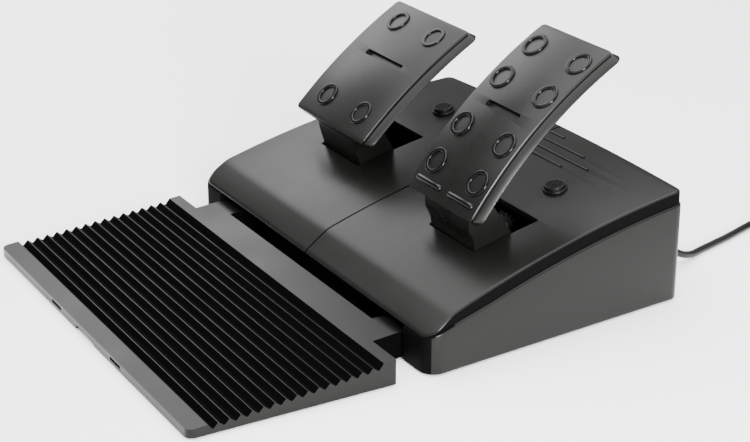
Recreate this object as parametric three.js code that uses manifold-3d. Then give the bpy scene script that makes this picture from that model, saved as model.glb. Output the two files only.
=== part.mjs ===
// A two-pedal unit for a racing wheel: a wedge housing with a brake and a throttle pedal,
// a ribbed heel plate hooked to its front, and the lead that plugs into the wheel.
// Millimetres, +X to the user's right, +Y away from the user, +Z up.
// The housing is drawn with y = 0 at its front lip and z = 0 at its underside, and one group
// then lifts it onto its feet and centres it over the origin.

import * as THREE from 'three';
import { mergeVertices } from 'three/addons/utils/BufferGeometryUtils.js';
import Module from 'manifold-3d';

const wasm = await Module();
wasm.setup();

// ---------------------------------------------------------------- driving dimensions

// Fits
const GAP = 0.3; // between pieces that touch
const RUN = 1.0; // between a moving piece and the opening that it runs in

// Housing
const FRONT_WIDTH = 240;
const BACK_WIDTH = 214;
const DEPTH = 155; // front lip to the back corners
const BACK_BOW = 4; // how far the back bulges past its corners
const LIP_HEIGHT = 18.4; // lower edge of the cover at the front
const CREASE_Y = 13.7; // where the steep front slope meets the main slope
const CREASE_HEIGHT = 28.4;
const BACK_HEIGHT = 58;
const SLOPE_RISE = 4.5; // how far the main slope bulges above its chord
const FLANK = 7; // height of the cover's own side strip
const SPLIT_BEND_Y = 40; // ahead of this the split runs straight down to the lip
const SHELL_WALL = 2.5;
const COVER_WALL = 2.5;
const COVER_INSET = 0.8; // the lower shell stands this much proud of the cover
const FRONT_CORNER = 8;
const BACK_CORNER = 5;
const GROOVE_WIDTH = 1.2; // the line down the middle of the cover
const GROOVE_DEPTH = 0.9;

// Feet
const FOOT_PROUD = 0.8;
const FOOT_RADIUS = 6;
const FOOT_THICK = 1.8;
const FRONT_FOOT = { y: 9, setIn: 11.2 };
const BACK_FOOT = { y: DEPTH - 33, setIn: 19.8 };
const HEEL_FOOT_RADIUS = 5;
const HEEL_FOOT = { setBack: 12, setIn: 19 };

// Heel plate
const HEEL_SET_IN = 3; // each side, from the housing's widest
const HEEL_WIDTH = FRONT_WIDTH - 2 * HEEL_SET_IN;
const HEEL_LENGTH = 103.5; // front edge to the shoulders
const HEEL_FRONT_HEIGHT = 4.2;
const HEEL_RISE = 0.082; // rise of its top for each millimetre back
const HEEL_SHOULDER_GAP = 15.3; // shoulders to the front lip
const HEEL_MIDDLE_GAP = 4.3; // middle of the back edge to the front lip
const RIDGE_COUNT = 15;
const RIDGE_PITCH = 5.5;
const RIDGE_DEPTH = 2.8;
const RIDGE_DROP = 0.75; // the crests lie this far under the flat strips
const FIRST_VALLEY = 11.9; // from the front edge
const FRONT_STRIP = 9.5;
const BACK_STRIP = 6; // from the last groove to the shoulders
const CELL_ROOF = 1.6; // plastic left over each cell, under the valleys
const CELL_RIB = 2;
const NOTCH_WIDTH = 22;
const NOTCH_HEIGHT = 1.7;
const NOTCH_DEPTH = 6;

// Heel plate hinge
const TAB_SET_IN = 24.4;
const TAB_WIDTH = 19.6;
const TAB_OUTER = FRONT_WIDTH / 2 - TAB_SET_IN;
const TAB_INNER = TAB_OUTER - TAB_WIDTH;
const HINGE_Y = 6;
const HINGE_Z = 7.5;
const HINGE_PIN = 2.5; // radius
const HINGE_PIN_LENGTH = 8;
const KNUCKLE = 5.6; // radius of the tab's round end
const RECESS_DEPTH = 14;
const RECESS_TOE = 5; // how far the floor runs on under the hinge tabs' ends
const RECESS_TOE_THICK = 1.5;

// Pedals
const PEDAL_X = 62.5;
const ARM_WIDTH = 39.5;
const PLATE_THICK = 5;
const PLATE_FACE = 2.4; // plastic left over the hollow underside
const PLATE_RIM = 2.6;
const RING_RADIUS = 6.6;
const RING_WIDTH = 1.7;
const RING_PROUD = 0.9;
const RING_SPACING = 36.5;
const BAR_LENGTH = 21.5;
const BAR_GAP = 6.5;
const BAR_RADIUS = 1.7;
const HUB_RADIUS = 9;
const SHAFT_RADIUS = 3;
const ARM_WALL = 4;

// Bearings
const TOWER_WIDTH = 5;
const TOWER_HALF = 10;
const OUTER_TOWER = 29.5; // from the pedal's middle
const INNER_TOWER = 31.5;
const CAP_HEIGHT = 7;
const CAP_SCREW_Y = 6.5;

// Gears and sensors
const MODULE = 1;
const SECTOR_TEETH = 52; // if it went all the way round
const PINION_TEETH = 13;
const SECTOR_LAST = 7; // the sector keeps teeth 0 to this one
const PRESSURE_ANGLE = THREE.MathUtils.degToRad(20);
const BACKLASH = 0.3;
const GEAR_WIDTH = 5;
const GEAR_PLAY = 0.15; // added to the centre distance
const SENSOR_RADIUS = 8;
const SENSOR_DEPTH = 12;
const BUSHING_RADIUS = 3.5;
const SENSOR_SHAFT = 2.5;
const SENSOR_WALL = 2.5;
const NUT_RADIUS = 5.5;

// Springs
const SPRING_WIRE = 0.6; // radius
const SPRING_COIL = 5; // mean radius
const SPRING_TURNS = 5;
const SPRING_REACH = 17; // behind the pivot
const SPRING_SEAT = 3; // its upper end, above the pivot
const FOOT_WIDTH = 15; // the arm's foot that presses it
const FOOT_HEIGHT = 4;
const STUB_RADIUS = 3.2; // the studs that keep it in place
const STUB_HEIGHT = 1.6;

// Buttons
const BUTTON_RADIUS = 6.3;
const BUTTON_HEIGHT = 3.2;
const STEM_RADIUS = 2.4;
const STEM_LENGTH = 6;

// Screws
const SCREW = { shank: 1.5, head: 2.8, headHeight: 2 };
const SMALL_SCREW = { shank: 1.1, head: 2.1, headHeight: 1.6 };
const FRONT_SCREW_Y = 30;
const BACK_SCREW_Y = DEPTH - 15;
const MIDDLE_SCREWS_Y = [34, DEPTH - 5];
const SCREW_SET_IN = 13.4; // from the housing's side
const BOSS_RADIUS = 4.5;
const BOSS_SPLIT = 14; // where the shell's screw posts meet the cover's

// Circuit board
const BOARD = { width: 56, depth: 26, thick: 1.6, y: DEPTH - 25, lift: 4 };

// Lead
const LEAD_RADIUS = 1.9;
const LEAD_X = 74; // where it leaves the back wall
const LEAD_Z = 9.2;
const BOOT_LENGTH = 16;
const COIL_RADIUS = 22; // to the middle of the turns
const COIL_COLUMNS = 4;
const COIL_LAYERS = 3;
const COIL_CENTRE = new THREE.Vector2(82, 254);
const COIL_LIFT = 1.3; // the tie passes under it
const TIE = { width: 5, thick: 1 };
const TAIL_ANGLE = THREE.MathUtils.degToRad(100); // where the plug's end leaves the coil
const TAIL_LENGTH = 24;
const PLUG = { width: 9.7, height: 6.6, length: 15, bootRadius: 2.9, bootLength: 8 };

// ---------------------------------------------------------------- finishes

const satinBlack = { color: 0x1b1b1a, roughness: 0.42, metalness: 0 };
const mattBlack = { color: 0x131312, roughness: 0.7, metalness: 0 };
const rubber = { color: 0x171716, roughness: 0.85, metalness: 0 };
const steel = { color: 0xb9bcc0, roughness: 0.3, metalness: 1 };
const zincSteel = { color: 0x8f9296, roughness: 0.4, metalness: 1 };
const greyPlastic = { color: 0x3c3f42, roughness: 0.5, metalness: 0 };
const blackNylon = { color: 0x1c1c1c, roughness: 0.5, metalness: 0 };
const boardGreen = { color: 0x1f5a37, roughness: 0.4, metalness: 0 };

// ---------------------------------------------------------------- solids

/** Turns a closed geometry into a solid that can be joined and cut. */
function toSolid(geometry) {
  const bare = geometry.clone();
  bare.deleteAttribute('normal');
  bare.deleteAttribute('uv');
  const merged = mergeVertices(bare, 1e-4);
  return new wasm.Manifold(new wasm.Mesh({
    numProp: 3,
    vertProperties: new Float32Array(merged.attributes.position.array),
    triVerts: new Uint32Array(merged.index.array),
  }));
}

/** Turns a solid back into a geometry. */
function toGeometry(solid) {
  const mesh = solid.getMesh();
  const geometry = new THREE.BufferGeometry();
  geometry.setAttribute('position', new THREE.BufferAttribute(mesh.vertProperties, mesh.numProp));
  geometry.setIndex(new THREE.BufferAttribute(mesh.triVerts, 1));
  geometry.computeVertexNormals();
  return geometry;
}

const join = (...solids) => solids.reduce((whole, piece) => whole.add(piece));
const cut = (whole, ...pieces) => pieces.reduce((rest, piece) => rest.subtract(piece), whole);

const ALONG_X = new THREE.Matrix4().makeBasis(
  new THREE.Vector3(0, 1, 0),
  new THREE.Vector3(0, 0, 1),
  new THREE.Vector3(1, 0, 0),
);

/** A side view, drawn as (y, z), carried along X. */
function alongX(outline, xStart, xEnd, curveSegments = 8) {
  const shape = outline instanceof THREE.Shape ? outline : new THREE.Shape(outline);
  const geometry = new THREE.ExtrudeGeometry(shape, {
    depth: xEnd - xStart,
    bevelEnabled: false,
    curveSegments,
  });
  return toSolid(geometry.applyMatrix4(ALONG_X).translate(xStart, 0, 0));
}

/** A plan view, drawn as (x, y), carried up. */
function upright(shape, zLow, zHigh, curveSegments = 6) {
  const geometry = new THREE.ExtrudeGeometry(shape, {
    depth: zHigh - zLow,
    bevelEnabled: false,
    curveSegments,
  });
  return toSolid(geometry.translate(0, 0, zLow));
}

/** A box from its two corners. */
function block(xLow, xHigh, yLow, yHigh, zLow, zHigh) {
  const geometry = new THREE.BoxGeometry(xHigh - xLow, yHigh - yLow, zHigh - zLow);
  geometry.translate((xLow + xHigh) / 2, (yLow + yHigh) / 2, (zLow + zHigh) / 2);
  return toSolid(geometry);
}

/** A round bar along X. */
function barX(radius, xStart, xEnd, y, z, sides = 16) {
  const geometry = new THREE.CylinderGeometry(radius, radius, xEnd - xStart, sides);
  geometry.rotateZ(-Math.PI / 2).translate((xStart + xEnd) / 2, y, z);
  return toSolid(geometry);
}

/** A round post along Z. */
function post(radius, x, y, zLow, zHigh, sides = 12) {
  const geometry = new THREE.CylinderGeometry(radius, radius, zHigh - zLow, sides);
  geometry.rotateX(Math.PI / 2).translate(x, y, (zLow + zHigh) / 2);
  return toSolid(geometry);
}

/** A turned piece about Z, from (radius, height) points that start and end on the axis. */
function turned(points, sides = 16) {
  return new THREE.LatheGeometry(points.map(([r, z]) => new THREE.Vector2(r, z)), sides)
    .rotateX(Math.PI / 2);
}

/** A round tube along a smooth line through the given points. */
function tube(points, radius, steps, sides = 8) {
  const section = new THREE.Shape();
  section.absarc(0, 0, radius, 0, Math.PI * 2);
  return new THREE.ExtrudeGeometry(section, {
    steps,
    bevelEnabled: false,
    curveSegments: sides / 2,
    extrudePath: new THREE.CatmullRomCurve3(points),
  });
}

// ---------------------------------------------------------------- the scene graph

const housing = new THREE.Group();
const rear = DEPTH + BACK_BOW;
const heelFront = -HEEL_SHOULDER_GAP - HEEL_LENGTH;
housing.position.set(0, -(heelFront + rear) / 2, FOOT_PROUD);

const unit = new THREE.Group();
unit.add(housing);

/** Adds one named piece to a group and returns it. */
function addPiece(parent, name, shape, finish) {
  const geometry = shape instanceof THREE.BufferGeometry ? shape : toGeometry(shape);
  const mesh = new THREE.Mesh(geometry, new THREE.MeshStandardMaterial(finish));
  mesh.name = name;
  parent.add(mesh);
  return mesh;
}

/** A pan-head screw that points up, with its head's underside at the origin. */
function screwShape(size, length) {
  return turned([
    [0, -size.headHeight],
    [size.head * 0.7, -size.headHeight],
    [size.head, -size.headHeight * 0.4],
    [size.head, 0],
    [size.shank, 0],
    [size.shank, length - size.shank],
    [0, length],
  ], 8);
}

// ---------------------------------------------------------------- housing shapes

const slope = (() => {
  const start = new THREE.Vector2(CREASE_Y, CREASE_HEIGHT);
  const end = new THREE.Vector2(DEPTH, BACK_HEIGHT);
  const half = start.distanceTo(end) / 2;
  const radius = (half * half + SLOPE_RISE * SLOPE_RISE) / (2 * SLOPE_RISE);
  const normal = new THREE.Vector2(start.y - end.y, end.x - start.x).normalize();
  const centre = start.clone().add(end).multiplyScalar(0.5)
    .addScaledVector(normal, SLOPE_RISE - radius);
  return { radius, centre };
})();

/** Height of the cover's top at a distance back from the lip. */
function coverTop(y) {
  if (y < CREASE_Y) {
    return THREE.MathUtils.mapLinear(y, 0, CREASE_Y, LIP_HEIGHT, CREASE_HEIGHT);
  }
  return slope.centre.y + Math.sqrt(slope.radius ** 2 - (y - slope.centre.x) ** 2);
}

/** Tilt of the cover's main slope, in radians. */
const coverTilt = (y) => Math.asin((slope.centre.x - y) / slope.radius);

/** Height of the line where the cover meets the lower shell. */
function splitHeight(y) {
  if (y < SPLIT_BEND_Y) {
    const bend = coverTop(SPLIT_BEND_Y) - FLANK;
    return THREE.MathUtils.mapLinear(y, 0, SPLIT_BEND_Y, LIP_HEIGHT, bend);
  }
  return coverTop(y) - FLANK;
}

/** Points along a height law, from the front of the housing to past its back. */
function line(height, drop, steps = 7) {
  const from = [-1, CREASE_Y, SPLIT_BEND_Y];
  const curved = Array.from({ length: steps }, (_, i) => (
    THREE.MathUtils.mapLinear(i + 1, 0, steps, SPLIT_BEND_Y, rear + 1)));
  return [...from, ...curved].map((y) => new THREE.Vector2(y, height(y) - drop));
}

/** Everything below a height law, across the full width. */
function below(height, drop, floor = -1) {
  const outline = [...line(height, drop), new THREE.Vector2(rear + 1, floor),
    new THREE.Vector2(-1, floor)];
  return alongX(outline, -FRONT_WIDTH, FRONT_WIDTH);
}

/** The housing's plan, moved in all round. */
function plan(inset) {
  const front = FRONT_WIDTH / 2 - inset;
  const back = BACK_WIDTH / 2 - inset;
  const near = inset;
  const far = DEPTH - inset;
  const frontRound = Math.max(FRONT_CORNER - inset, 1);
  const backRound = Math.max(BACK_CORNER - inset, 1);
  const side = new THREE.Vector2(back - front, far - near).normalize();
  const shape = new THREE.Shape();
  shape.moveTo(-front + frontRound, near);
  shape.lineTo(front - frontRound, near);
  shape.quadraticCurveTo(front, near, front + side.x * frontRound, near + side.y * frontRound);
  shape.lineTo(back - side.x * backRound, far - side.y * backRound);
  shape.quadraticCurveTo(back, far, back - backRound, far);
  shape.quadraticCurveTo(0, far + 2 * BACK_BOW, -back + backRound, far);
  shape.quadraticCurveTo(-back, far, -back + side.x * backRound, far - side.y * backRound);
  shape.lineTo(-front - side.x * frontRound, near + side.y * frontRound);
  shape.quadraticCurveTo(-front, near, -front + frontRound, near);
  return shape;
}

const tall = BACK_HEIGHT * 2;

/** Half the housing's width at a distance back from the lip. */
const halfWidth = (y) => THREE.MathUtils.mapLinear(y, 0, DEPTH, FRONT_WIDTH / 2, BACK_WIDTH / 2);

/** A place on the left and one on the right, so far in from the housing's sides. */
const pairAt = (y, setIn) => [-1, 1].map((side) => [side * (halfWidth(y) - setIn), y]);

const screwPlaces = [
  ...pairAt(FRONT_SCREW_Y, SCREW_SET_IN),
  ...pairAt(BACK_SCREW_Y, SCREW_SET_IN),
  ...MIDDLE_SCREWS_Y.map((y) => [0, y]),
];
const footPlaces = [
  ...pairAt(FRONT_FOOT.y, FRONT_FOOT.setIn),
  ...pairAt(BACK_FOOT.y, BACK_FOOT.setIn),
];
const screwSeat = SCREW.headHeight + 2; // depth of the counterbore

/** The pedal's own place and travel. */
const pedals = {
  brake: {
    side: -1,
    pivot: new THREE.Vector2(70, 17),
    travel: THREE.MathUtils.degToRad(20),
    halfWidth: 36,
    bottom: new THREE.Vector2(48.6, 59.5),
    top: new THREE.Vector2(114, 110.5),
    bulge: 3,
    rings: [0.17, 0.85],
    slot: { at: 0.56, length: 37 },
    bars: 0,
    neckFront: [[47.8, 58.5], [51, 52], [55.9, 44.1], [58.2, 38]],
    neckBack: [[80.6, 39], [77.9, 46.8], [71, 65.5]],
    buttonY: 122,
    slotFront: 55.5,
    slotBack: 96.3,
  },
  throttle: {
    side: 1,
    pivot: new THREE.Vector2(62, 17),
    travel: THREE.MathUtils.degToRad(24),
    halfWidth: 28.2,
    bottom: new THREE.Vector2(40, 58.5),
    top: new THREE.Vector2(118.5, 129.7),
    bulge: 6.2,
    rings: [0.165, 0.37, 0.655, 0.87],
    slot: { at: 0.515, length: 28 },
    bars: 0.062,
    neckFront: [[40.6, 56], [45.3, 50.1], [47.4, 45.8], [48.6, 42], [49, 36]],
    neckBack: [[72.5, 39], [68.8, 45.7], [59.3, 59.3], [53.2, 68]],
    buttonY: 109,
    slotFront: 47.7,
    slotBack: 84.9,
  },
};

/** Button's place: the middle of its top, and its tilt. */
function buttonTop(pedal) {
  const tilt = coverTilt(pedal.buttonY);
  return {
    tilt,
    y: pedal.buttonY - Math.sin(tilt) * BUTTON_HEIGHT,
    z: coverTop(pedal.buttonY) + Math.cos(tilt) * BUTTON_HEIGHT,
  };
}

/** Moves a geometry made about Z to the middle of a button's top. */
function onButton(pedal, geometry) {
  const top = buttonTop(pedal);
  return geometry.rotateX(top.tilt).translate(PEDAL_X * pedal.side, top.y, top.z);
}

const slotHalf = ARM_WIDTH / 2 + RUN;

function topCover() {
  const outer = upright(plan(COVER_INSET), 0, tall).intersect(below(coverTop, 0));
  const inner = upright(plan(COVER_INSET + COVER_WALL), -1, tall)
    .intersect(below(coverTop, COVER_WALL, -2));
  let cover = cut(outer, inner, below(splitHeight, -GAP, -2));
  for (const [x, y] of screwPlaces) {
    const boss = post(BOSS_RADIUS - 0.5, x, y, BOSS_SPLIT + GAP, tall)
      .intersect(below(coverTop, COVER_WALL / 2));
    cover = cover.add(boss);
    cover = cover.subtract(post(SCREW.shank + GAP, x, y, 0, coverTop(y) - COVER_WALL - 2));
  }
  for (const pedal of Object.values(pedals)) {
    const x = PEDAL_X * pedal.side;
    cover = cut(
      cover,
      block(x - slotHalf, x + slotHalf, pedal.slotFront, pedal.slotBack, BOSS_SPLIT, tall),
      toSolid(onButton(pedal, new THREE.CylinderGeometry(STEM_RADIUS + GAP, STEM_RADIUS + GAP,
        BUTTON_HEIGHT * 12, 12).rotateX(Math.PI / 2))),
      sectorRoom(pedal),
    );
  }
  const groove = below(coverTop, -1).subtract(below(coverTop, GROOVE_DEPTH, -2))
    .intersect(block(-GROOVE_WIDTH / 2, GROOVE_WIDTH / 2, -1, rear + 1, 0, tall));
  return cover.subtract(groove);
}

/** One bearing tower of the lower shell, with a half-round seat for the shaft. */
function tower(x, pivot) {
  const body = block(x - TOWER_WIDTH / 2, x + TOWER_WIDTH / 2,
    pivot.x - TOWER_HALF, pivot.x + TOWER_HALF, SHELL_WALL / 2, pivot.y);
  return cut(body,
    barX(SHAFT_RADIUS + GAP, x - TOWER_WIDTH, x + TOWER_WIDTH, pivot.x, pivot.y),
    post(SMALL_SCREW.shank + GAP, x, pivot.x + CAP_SCREW_Y, SHELL_WALL * 2, pivot.y + 1));
}

const recessHalf = TAB_OUTER + RUN * 1.5;

function lowerShell() {
  const outer = upright(plan(0), 0, tall).intersect(below(splitHeight, 0));
  const inner = upright(plan(SHELL_WALL), SHELL_WALL, tall);
  const room = below(coverTop, COVER_WALL + GAP * 2); // what stands inside stays under the cover
  let shell = outer.subtract(inner);
  shell = shell.subtract(block(-recessHalf, recessHalf, -1, RECESS_DEPTH, -1, tall));
  const recessWall = recessHalf + SHELL_WALL;
  let inside = join(
    block(-recessWall, recessWall, RECESS_DEPTH, RECESS_DEPTH + SHELL_WALL, 0, tall),
    block(-recessWall, -recessHalf, SHELL_WALL / 2, RECESS_DEPTH + 1, 0, tall),
    block(recessHalf, recessWall, SHELL_WALL / 2, RECESS_DEPTH + 1, 0, tall),
    block(-recessWall, recessWall, RECESS_DEPTH - RECESS_TOE, RECESS_DEPTH + 1, 0, RECESS_TOE_THICK),
  ).intersect(room);
  for (const [x, y] of screwPlaces) {
    inside = inside.add(post(BOSS_RADIUS, x, y, SHELL_WALL / 2, BOSS_SPLIT));
  }
  for (const pedal of Object.values(pedals)) {
    const x = PEDAL_X * pedal.side;
    const wallX = sensorWallX(pedal);
    const gear = pinionCentre(pedal);
    inside = join(inside,
      post(STUB_RADIUS, x, pedal.pivot.x + SPRING_REACH, SHELL_WALL / 2, SHELL_WALL + STUB_HEIGHT),
      tower(x + OUTER_TOWER * pedal.side, pedal.pivot),
      tower(x - INNER_TOWER * pedal.side, pedal.pivot),
      block(wallX - SENSOR_WALL / 2, wallX + SENSOR_WALL / 2, gear.x - SENSOR_RADIUS,
        gear.x + SENSOR_RADIUS, SHELL_WALL / 2, gear.y + SENSOR_RADIUS)
        .subtract(barX(BUSHING_RADIUS + GAP, wallX - SENSOR_WALL, wallX + SENSOR_WALL,
          gear.x, gear.y, 16)));
  }
  for (const side of [-1, 1]) {
    const pinStart = side * (recessHalf + SHELL_WALL / 2);
    const pinEnd = side * (recessHalf - HINGE_PIN_LENGTH);
    inside = join(inside,
      barX(HINGE_PIN, Math.min(pinStart, pinEnd), Math.max(pinStart, pinEnd), HINGE_Y, HINGE_Z),
      post(BOSS_RADIUS - 1, side * boardScrewX, BOARD.y, SHELL_WALL / 2, SHELL_WALL + BOARD.lift));
  }
  shell = shell.add(inside);
  for (const [x, y] of screwPlaces) {
    shell = cut(shell,
      post(SCREW.shank + GAP, x, y, -1, BOSS_SPLIT + 1),
      post(SCREW.head + GAP, x, y, -1, screwSeat));
  }
  for (const side of [-1, 1]) {
    shell = shell.subtract(
      post(SMALL_SCREW.shank + GAP, side * boardScrewX, BOARD.y, SHELL_WALL, tall));
  }
  for (const [x, y] of footPlaces) {
    shell = shell.subtract(post(FOOT_RADIUS + GAP, x, y, -1, FOOT_THICK - FOOT_PROUD + GAP));
  }
  const leadHole = new THREE.CylinderGeometry(BOOT.neck + GAP, BOOT.neck + GAP, 20, 20)
    .translate(LEAD_X, wallBack(LEAD_X), LEAD_Z - FOOT_PROUD);
  return shell.subtract(toSolid(leadHole));
}

/** Where the back wall's outside is, at a distance from the middle. */
const wallBack = (x) => DEPTH + BACK_BOW * (1 - (x / (BACK_WIDTH / 2)) ** 2);

const boardScrewX = BOARD.width / 2 - 4;
const BOOT = {
  neck: 4,
  collar: LEAD_Z - FOOT_PROUD - SHELL_WALL - GAP, // it just clears the shell's floor
  collarThick: 2.4,
  root: 4.4,
  tip: 2.9,
};

// ---------------------------------------------------------------- pedal shapes

/** Place along a pedal's face, from 0 at its lower end to 1, and so far off it. */
function onFace(pedal, share, off) {
  const chord = pedal.top.clone().sub(pedal.bottom);
  const half = chord.length() / 2;
  const radius = (half * half + pedal.bulge ** 2) / (2 * pedal.bulge);
  const middle = pedal.bottom.clone().addScaledVector(chord, 0.5);
  const normal = new THREE.Vector2(-chord.y, chord.x).normalize();
  const centre = middle.addScaledVector(normal, pedal.bulge - radius);
  const halfSweep = Math.asin(half / radius);
  const angle = Math.atan2(normal.y, normal.x) + halfSweep * (1 - 2 * share);
  const out = new THREE.Vector2(Math.cos(angle), Math.sin(angle));
  return { point: centre.addScaledVector(out, radius + off), angle };
}

/** A band of a pedal's side view, between two distances off its face. */
function faceBand(pedal, from, to, offHigh, offLow, steps = 8) {
  const shares = Array.from({ length: steps + 1 }, (_, i) => (
    THREE.MathUtils.mapLinear(i, 0, steps, from, to)));
  const high = shares.map((share) => onFace(pedal, share, offHigh).point);
  const low = shares.map((share) => onFace(pedal, share, offLow).point).reverse();
  return [...high, ...low];
}

/** Moves a geometry made about Z onto a pedal's face. */
function settle(geometry, pedal, share, x, off = 0) {
  const { point, angle } = onFace(pedal, share, off);
  return geometry.rotateX(angle - Math.PI / 2).translate(x, point.x, point.y);
}

function pedalPlate(pedal) {
  const x = PEDAL_X * pedal.side;
  const rim = PLATE_RIM / pedal.top.distanceTo(pedal.bottom);
  let plate = alongX(faceBand(pedal, 0, 1, 0, -PLATE_THICK), x - pedal.halfWidth,
    x + pedal.halfWidth);
  plate = plate.subtract(alongX(
    faceBand(pedal, rim, 1 - rim, -PLATE_FACE, -PLATE_THICK - 1),
    x - pedal.halfWidth + PLATE_RIM, x + pedal.halfWidth - PLATE_RIM));
  for (const share of pedal.rings) {
    for (const side of [-1, 1]) {
      const ring = new THREE.LatheGeometry([
        new THREE.Vector2(RING_RADIUS - RING_WIDTH, -0.5),
        new THREE.Vector2(RING_RADIUS, -0.5),
        new THREE.Vector2(RING_RADIUS - RING_WIDTH / 2, RING_PROUD),
        new THREE.Vector2(RING_RADIUS - RING_WIDTH, -0.5),
      ], 16).rotateX(Math.PI / 2);
      plate = plate.add(toSolid(settle(ring, pedal, share, x + side * RING_SPACING / 2)));
    }
  }
  const slot = new THREE.BoxGeometry(pedal.slot.length, SLOT_WIDTH, SLOT_DEPTH * 2);
  plate = plate.subtract(toSolid(settle(slot, pedal, pedal.slot.at, x)));
  if (pedal.bars > 0) {
    for (const side of [-1, 1]) {
      const bar = new THREE.CylinderGeometry(BAR_RADIUS, BAR_RADIUS, BAR_LENGTH, 12)
        .rotateZ(Math.PI / 2);
      const barX0 = x + side * (BAR_LENGTH + BAR_GAP) / 2;
      plate = plate.add(toSolid(settle(bar, pedal, pedal.bars, barX0, -0.4)));
    }
  }
  for (const share of plateScrewShares(pedal)) {
    const hole = new THREE.CylinderGeometry(
      SMALL_SCREW.shank + GAP, SMALL_SCREW.shank + GAP, PLATE_BOSS * 2, 12).rotateX(Math.PI / 2);
    const bossPost = new THREE.CylinderGeometry(PLATE_BOSS_RADIUS, PLATE_BOSS_RADIUS,
      PLATE_BOSS, 16).rotateX(Math.PI / 2);
    plate = plate.add(toSolid(settle(bossPost, pedal, share, x, -PLATE_FACE - PLATE_BOSS / 2 + 0.3)));
    plate = plate.subtract(toSolid(settle(hole, pedal, share, x, -PLATE_FACE - PLATE_BOSS)));
  }
  return plate;
}

const SLOT_WIDTH = 3.4;
const SLOT_DEPTH = 1;
const PLATE_BOSS = 2.6;
const PLATE_BOSS_RADIUS = 3.4;
const neckShare = (pedal) => 18 / pedal.top.distanceTo(pedal.bottom);
const plateScrewShares = (pedal) => [neckShare(pedal) * 0.36, neckShare(pedal) * 0.82];

// ---------------------------------------------------------------- gears

const sectorRadius = MODULE * SECTOR_TEETH / 2;
const pinionRadius = MODULE * PINION_TEETH / 2;
const MESH_ANGLE = THREE.MathUtils.degToRad(20); // where the pinion sits, seen from the pivot

/** The pinion's centre in the side view. */
function pinionCentre(pedal) {
  const distance = sectorRadius + pinionRadius + GEAR_PLAY;
  return new THREE.Vector2(Math.cos(MESH_ANGLE), Math.sin(MESH_ANGLE))
    .multiplyScalar(distance).add(pedal.pivot);
}

const sensorWallX = (pedal) => pedal.side * (PEDAL_X - INNER_TOWER - TOWER_WIDTH);
const gearMiddle = (pedal) => pedal.side * (PEDAL_X - ARM_WIDTH / 2 - RUN - GEAR_WIDTH / 2);

/** Half the angle that a tooth fills at a radius. */
function toothHalfAngle(teeth, radius) {
  const pitch = MODULE * teeth / 2;
  const base = pitch * Math.cos(PRESSURE_ANGLE);
  const involute = (angle) => Math.tan(angle) - angle;
  const here = Math.acos(Math.min(1, base / Math.max(radius, base)));
  return Math.PI / (2 * teeth) - BACKLASH / (2 * pitch) + involute(PRESSURE_ANGLE) - involute(here);
}

/** The outline of one tooth, up one flank and down the other, about a centre. */
function toothOutline(teeth, centre, middle) {
  const pitch = MODULE * teeth / 2;
  const radii = [-1.15, -0.6, 0, 0.45, 0.85].map((step) => pitch + step * MODULE);
  const flank = (side) => radii.map((radius) => {
    const angle = middle + side * toothHalfAngle(teeth, radius);
    return new THREE.Vector2(centre.x + radius * Math.cos(angle), centre.y + radius * Math.sin(angle));
  });
  return [...flank(-1), ...flank(1).reverse()];
}

/** The toothed sector on a pedal's arm. */
function sectorGear(pedal, xLow, xHigh) {
  const step = 2 * Math.PI / SECTOR_TEETH;
  const outline = [pedal.pivot.clone()];
  for (let tooth = -1; tooth <= SECTOR_LAST - 1; tooth += 1) {
    outline.push(...toothOutline(SECTOR_TEETH, pedal.pivot, MESH_ANGLE + tooth * step));
  }
  return alongX(outline, xLow, xHigh);
}

/** The room that the sector needs under the cover with its pedal at rest. */
function sectorRoom(pedal) {
  const reach = MODULE * (SECTOR_TEETH / 2 + 1) + RUN;
  const first = MESH_ANGLE;
  const last = MESH_ANGLE + SECTOR_LAST * 2 * Math.PI / SECTOR_TEETH;
  const outline = [pedal.pivot.clone()];
  for (let i = 0; i <= SECTOR_LAST; i += 1) {
    const angle = THREE.MathUtils.lerp(first, last, i / SECTOR_LAST);
    outline.push(pedal.pivot.clone().add(new THREE.Vector2(Math.cos(angle), Math.sin(angle))
      .multiplyScalar(reach)));
  }
  const x = gearMiddle(pedal);
  const half = GEAR_WIDTH / 2 + RUN;
  return alongX(outline, x - half, x + half);
}

function pinion(pedal) {
  const centre = pinionCentre(pedal);
  const outline = [];
  for (let tooth = 0; tooth < PINION_TEETH; tooth += 1) {
    const middle = MESH_ANGLE + Math.PI + (tooth + 0.5) * 2 * Math.PI / PINION_TEETH;
    outline.push(...toothOutline(PINION_TEETH, centre, middle));
  }
  const x = gearMiddle(pedal);
  const half = GEAR_WIDTH / 2;
  return alongX(outline, x - half, x + half)
    .subtract(barX(SENSOR_SHAFT + GAP, x - GEAR_WIDTH, x + GEAR_WIDTH, centre.x, centre.y));
}

// ---------------------------------------------------------------- arms

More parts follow.
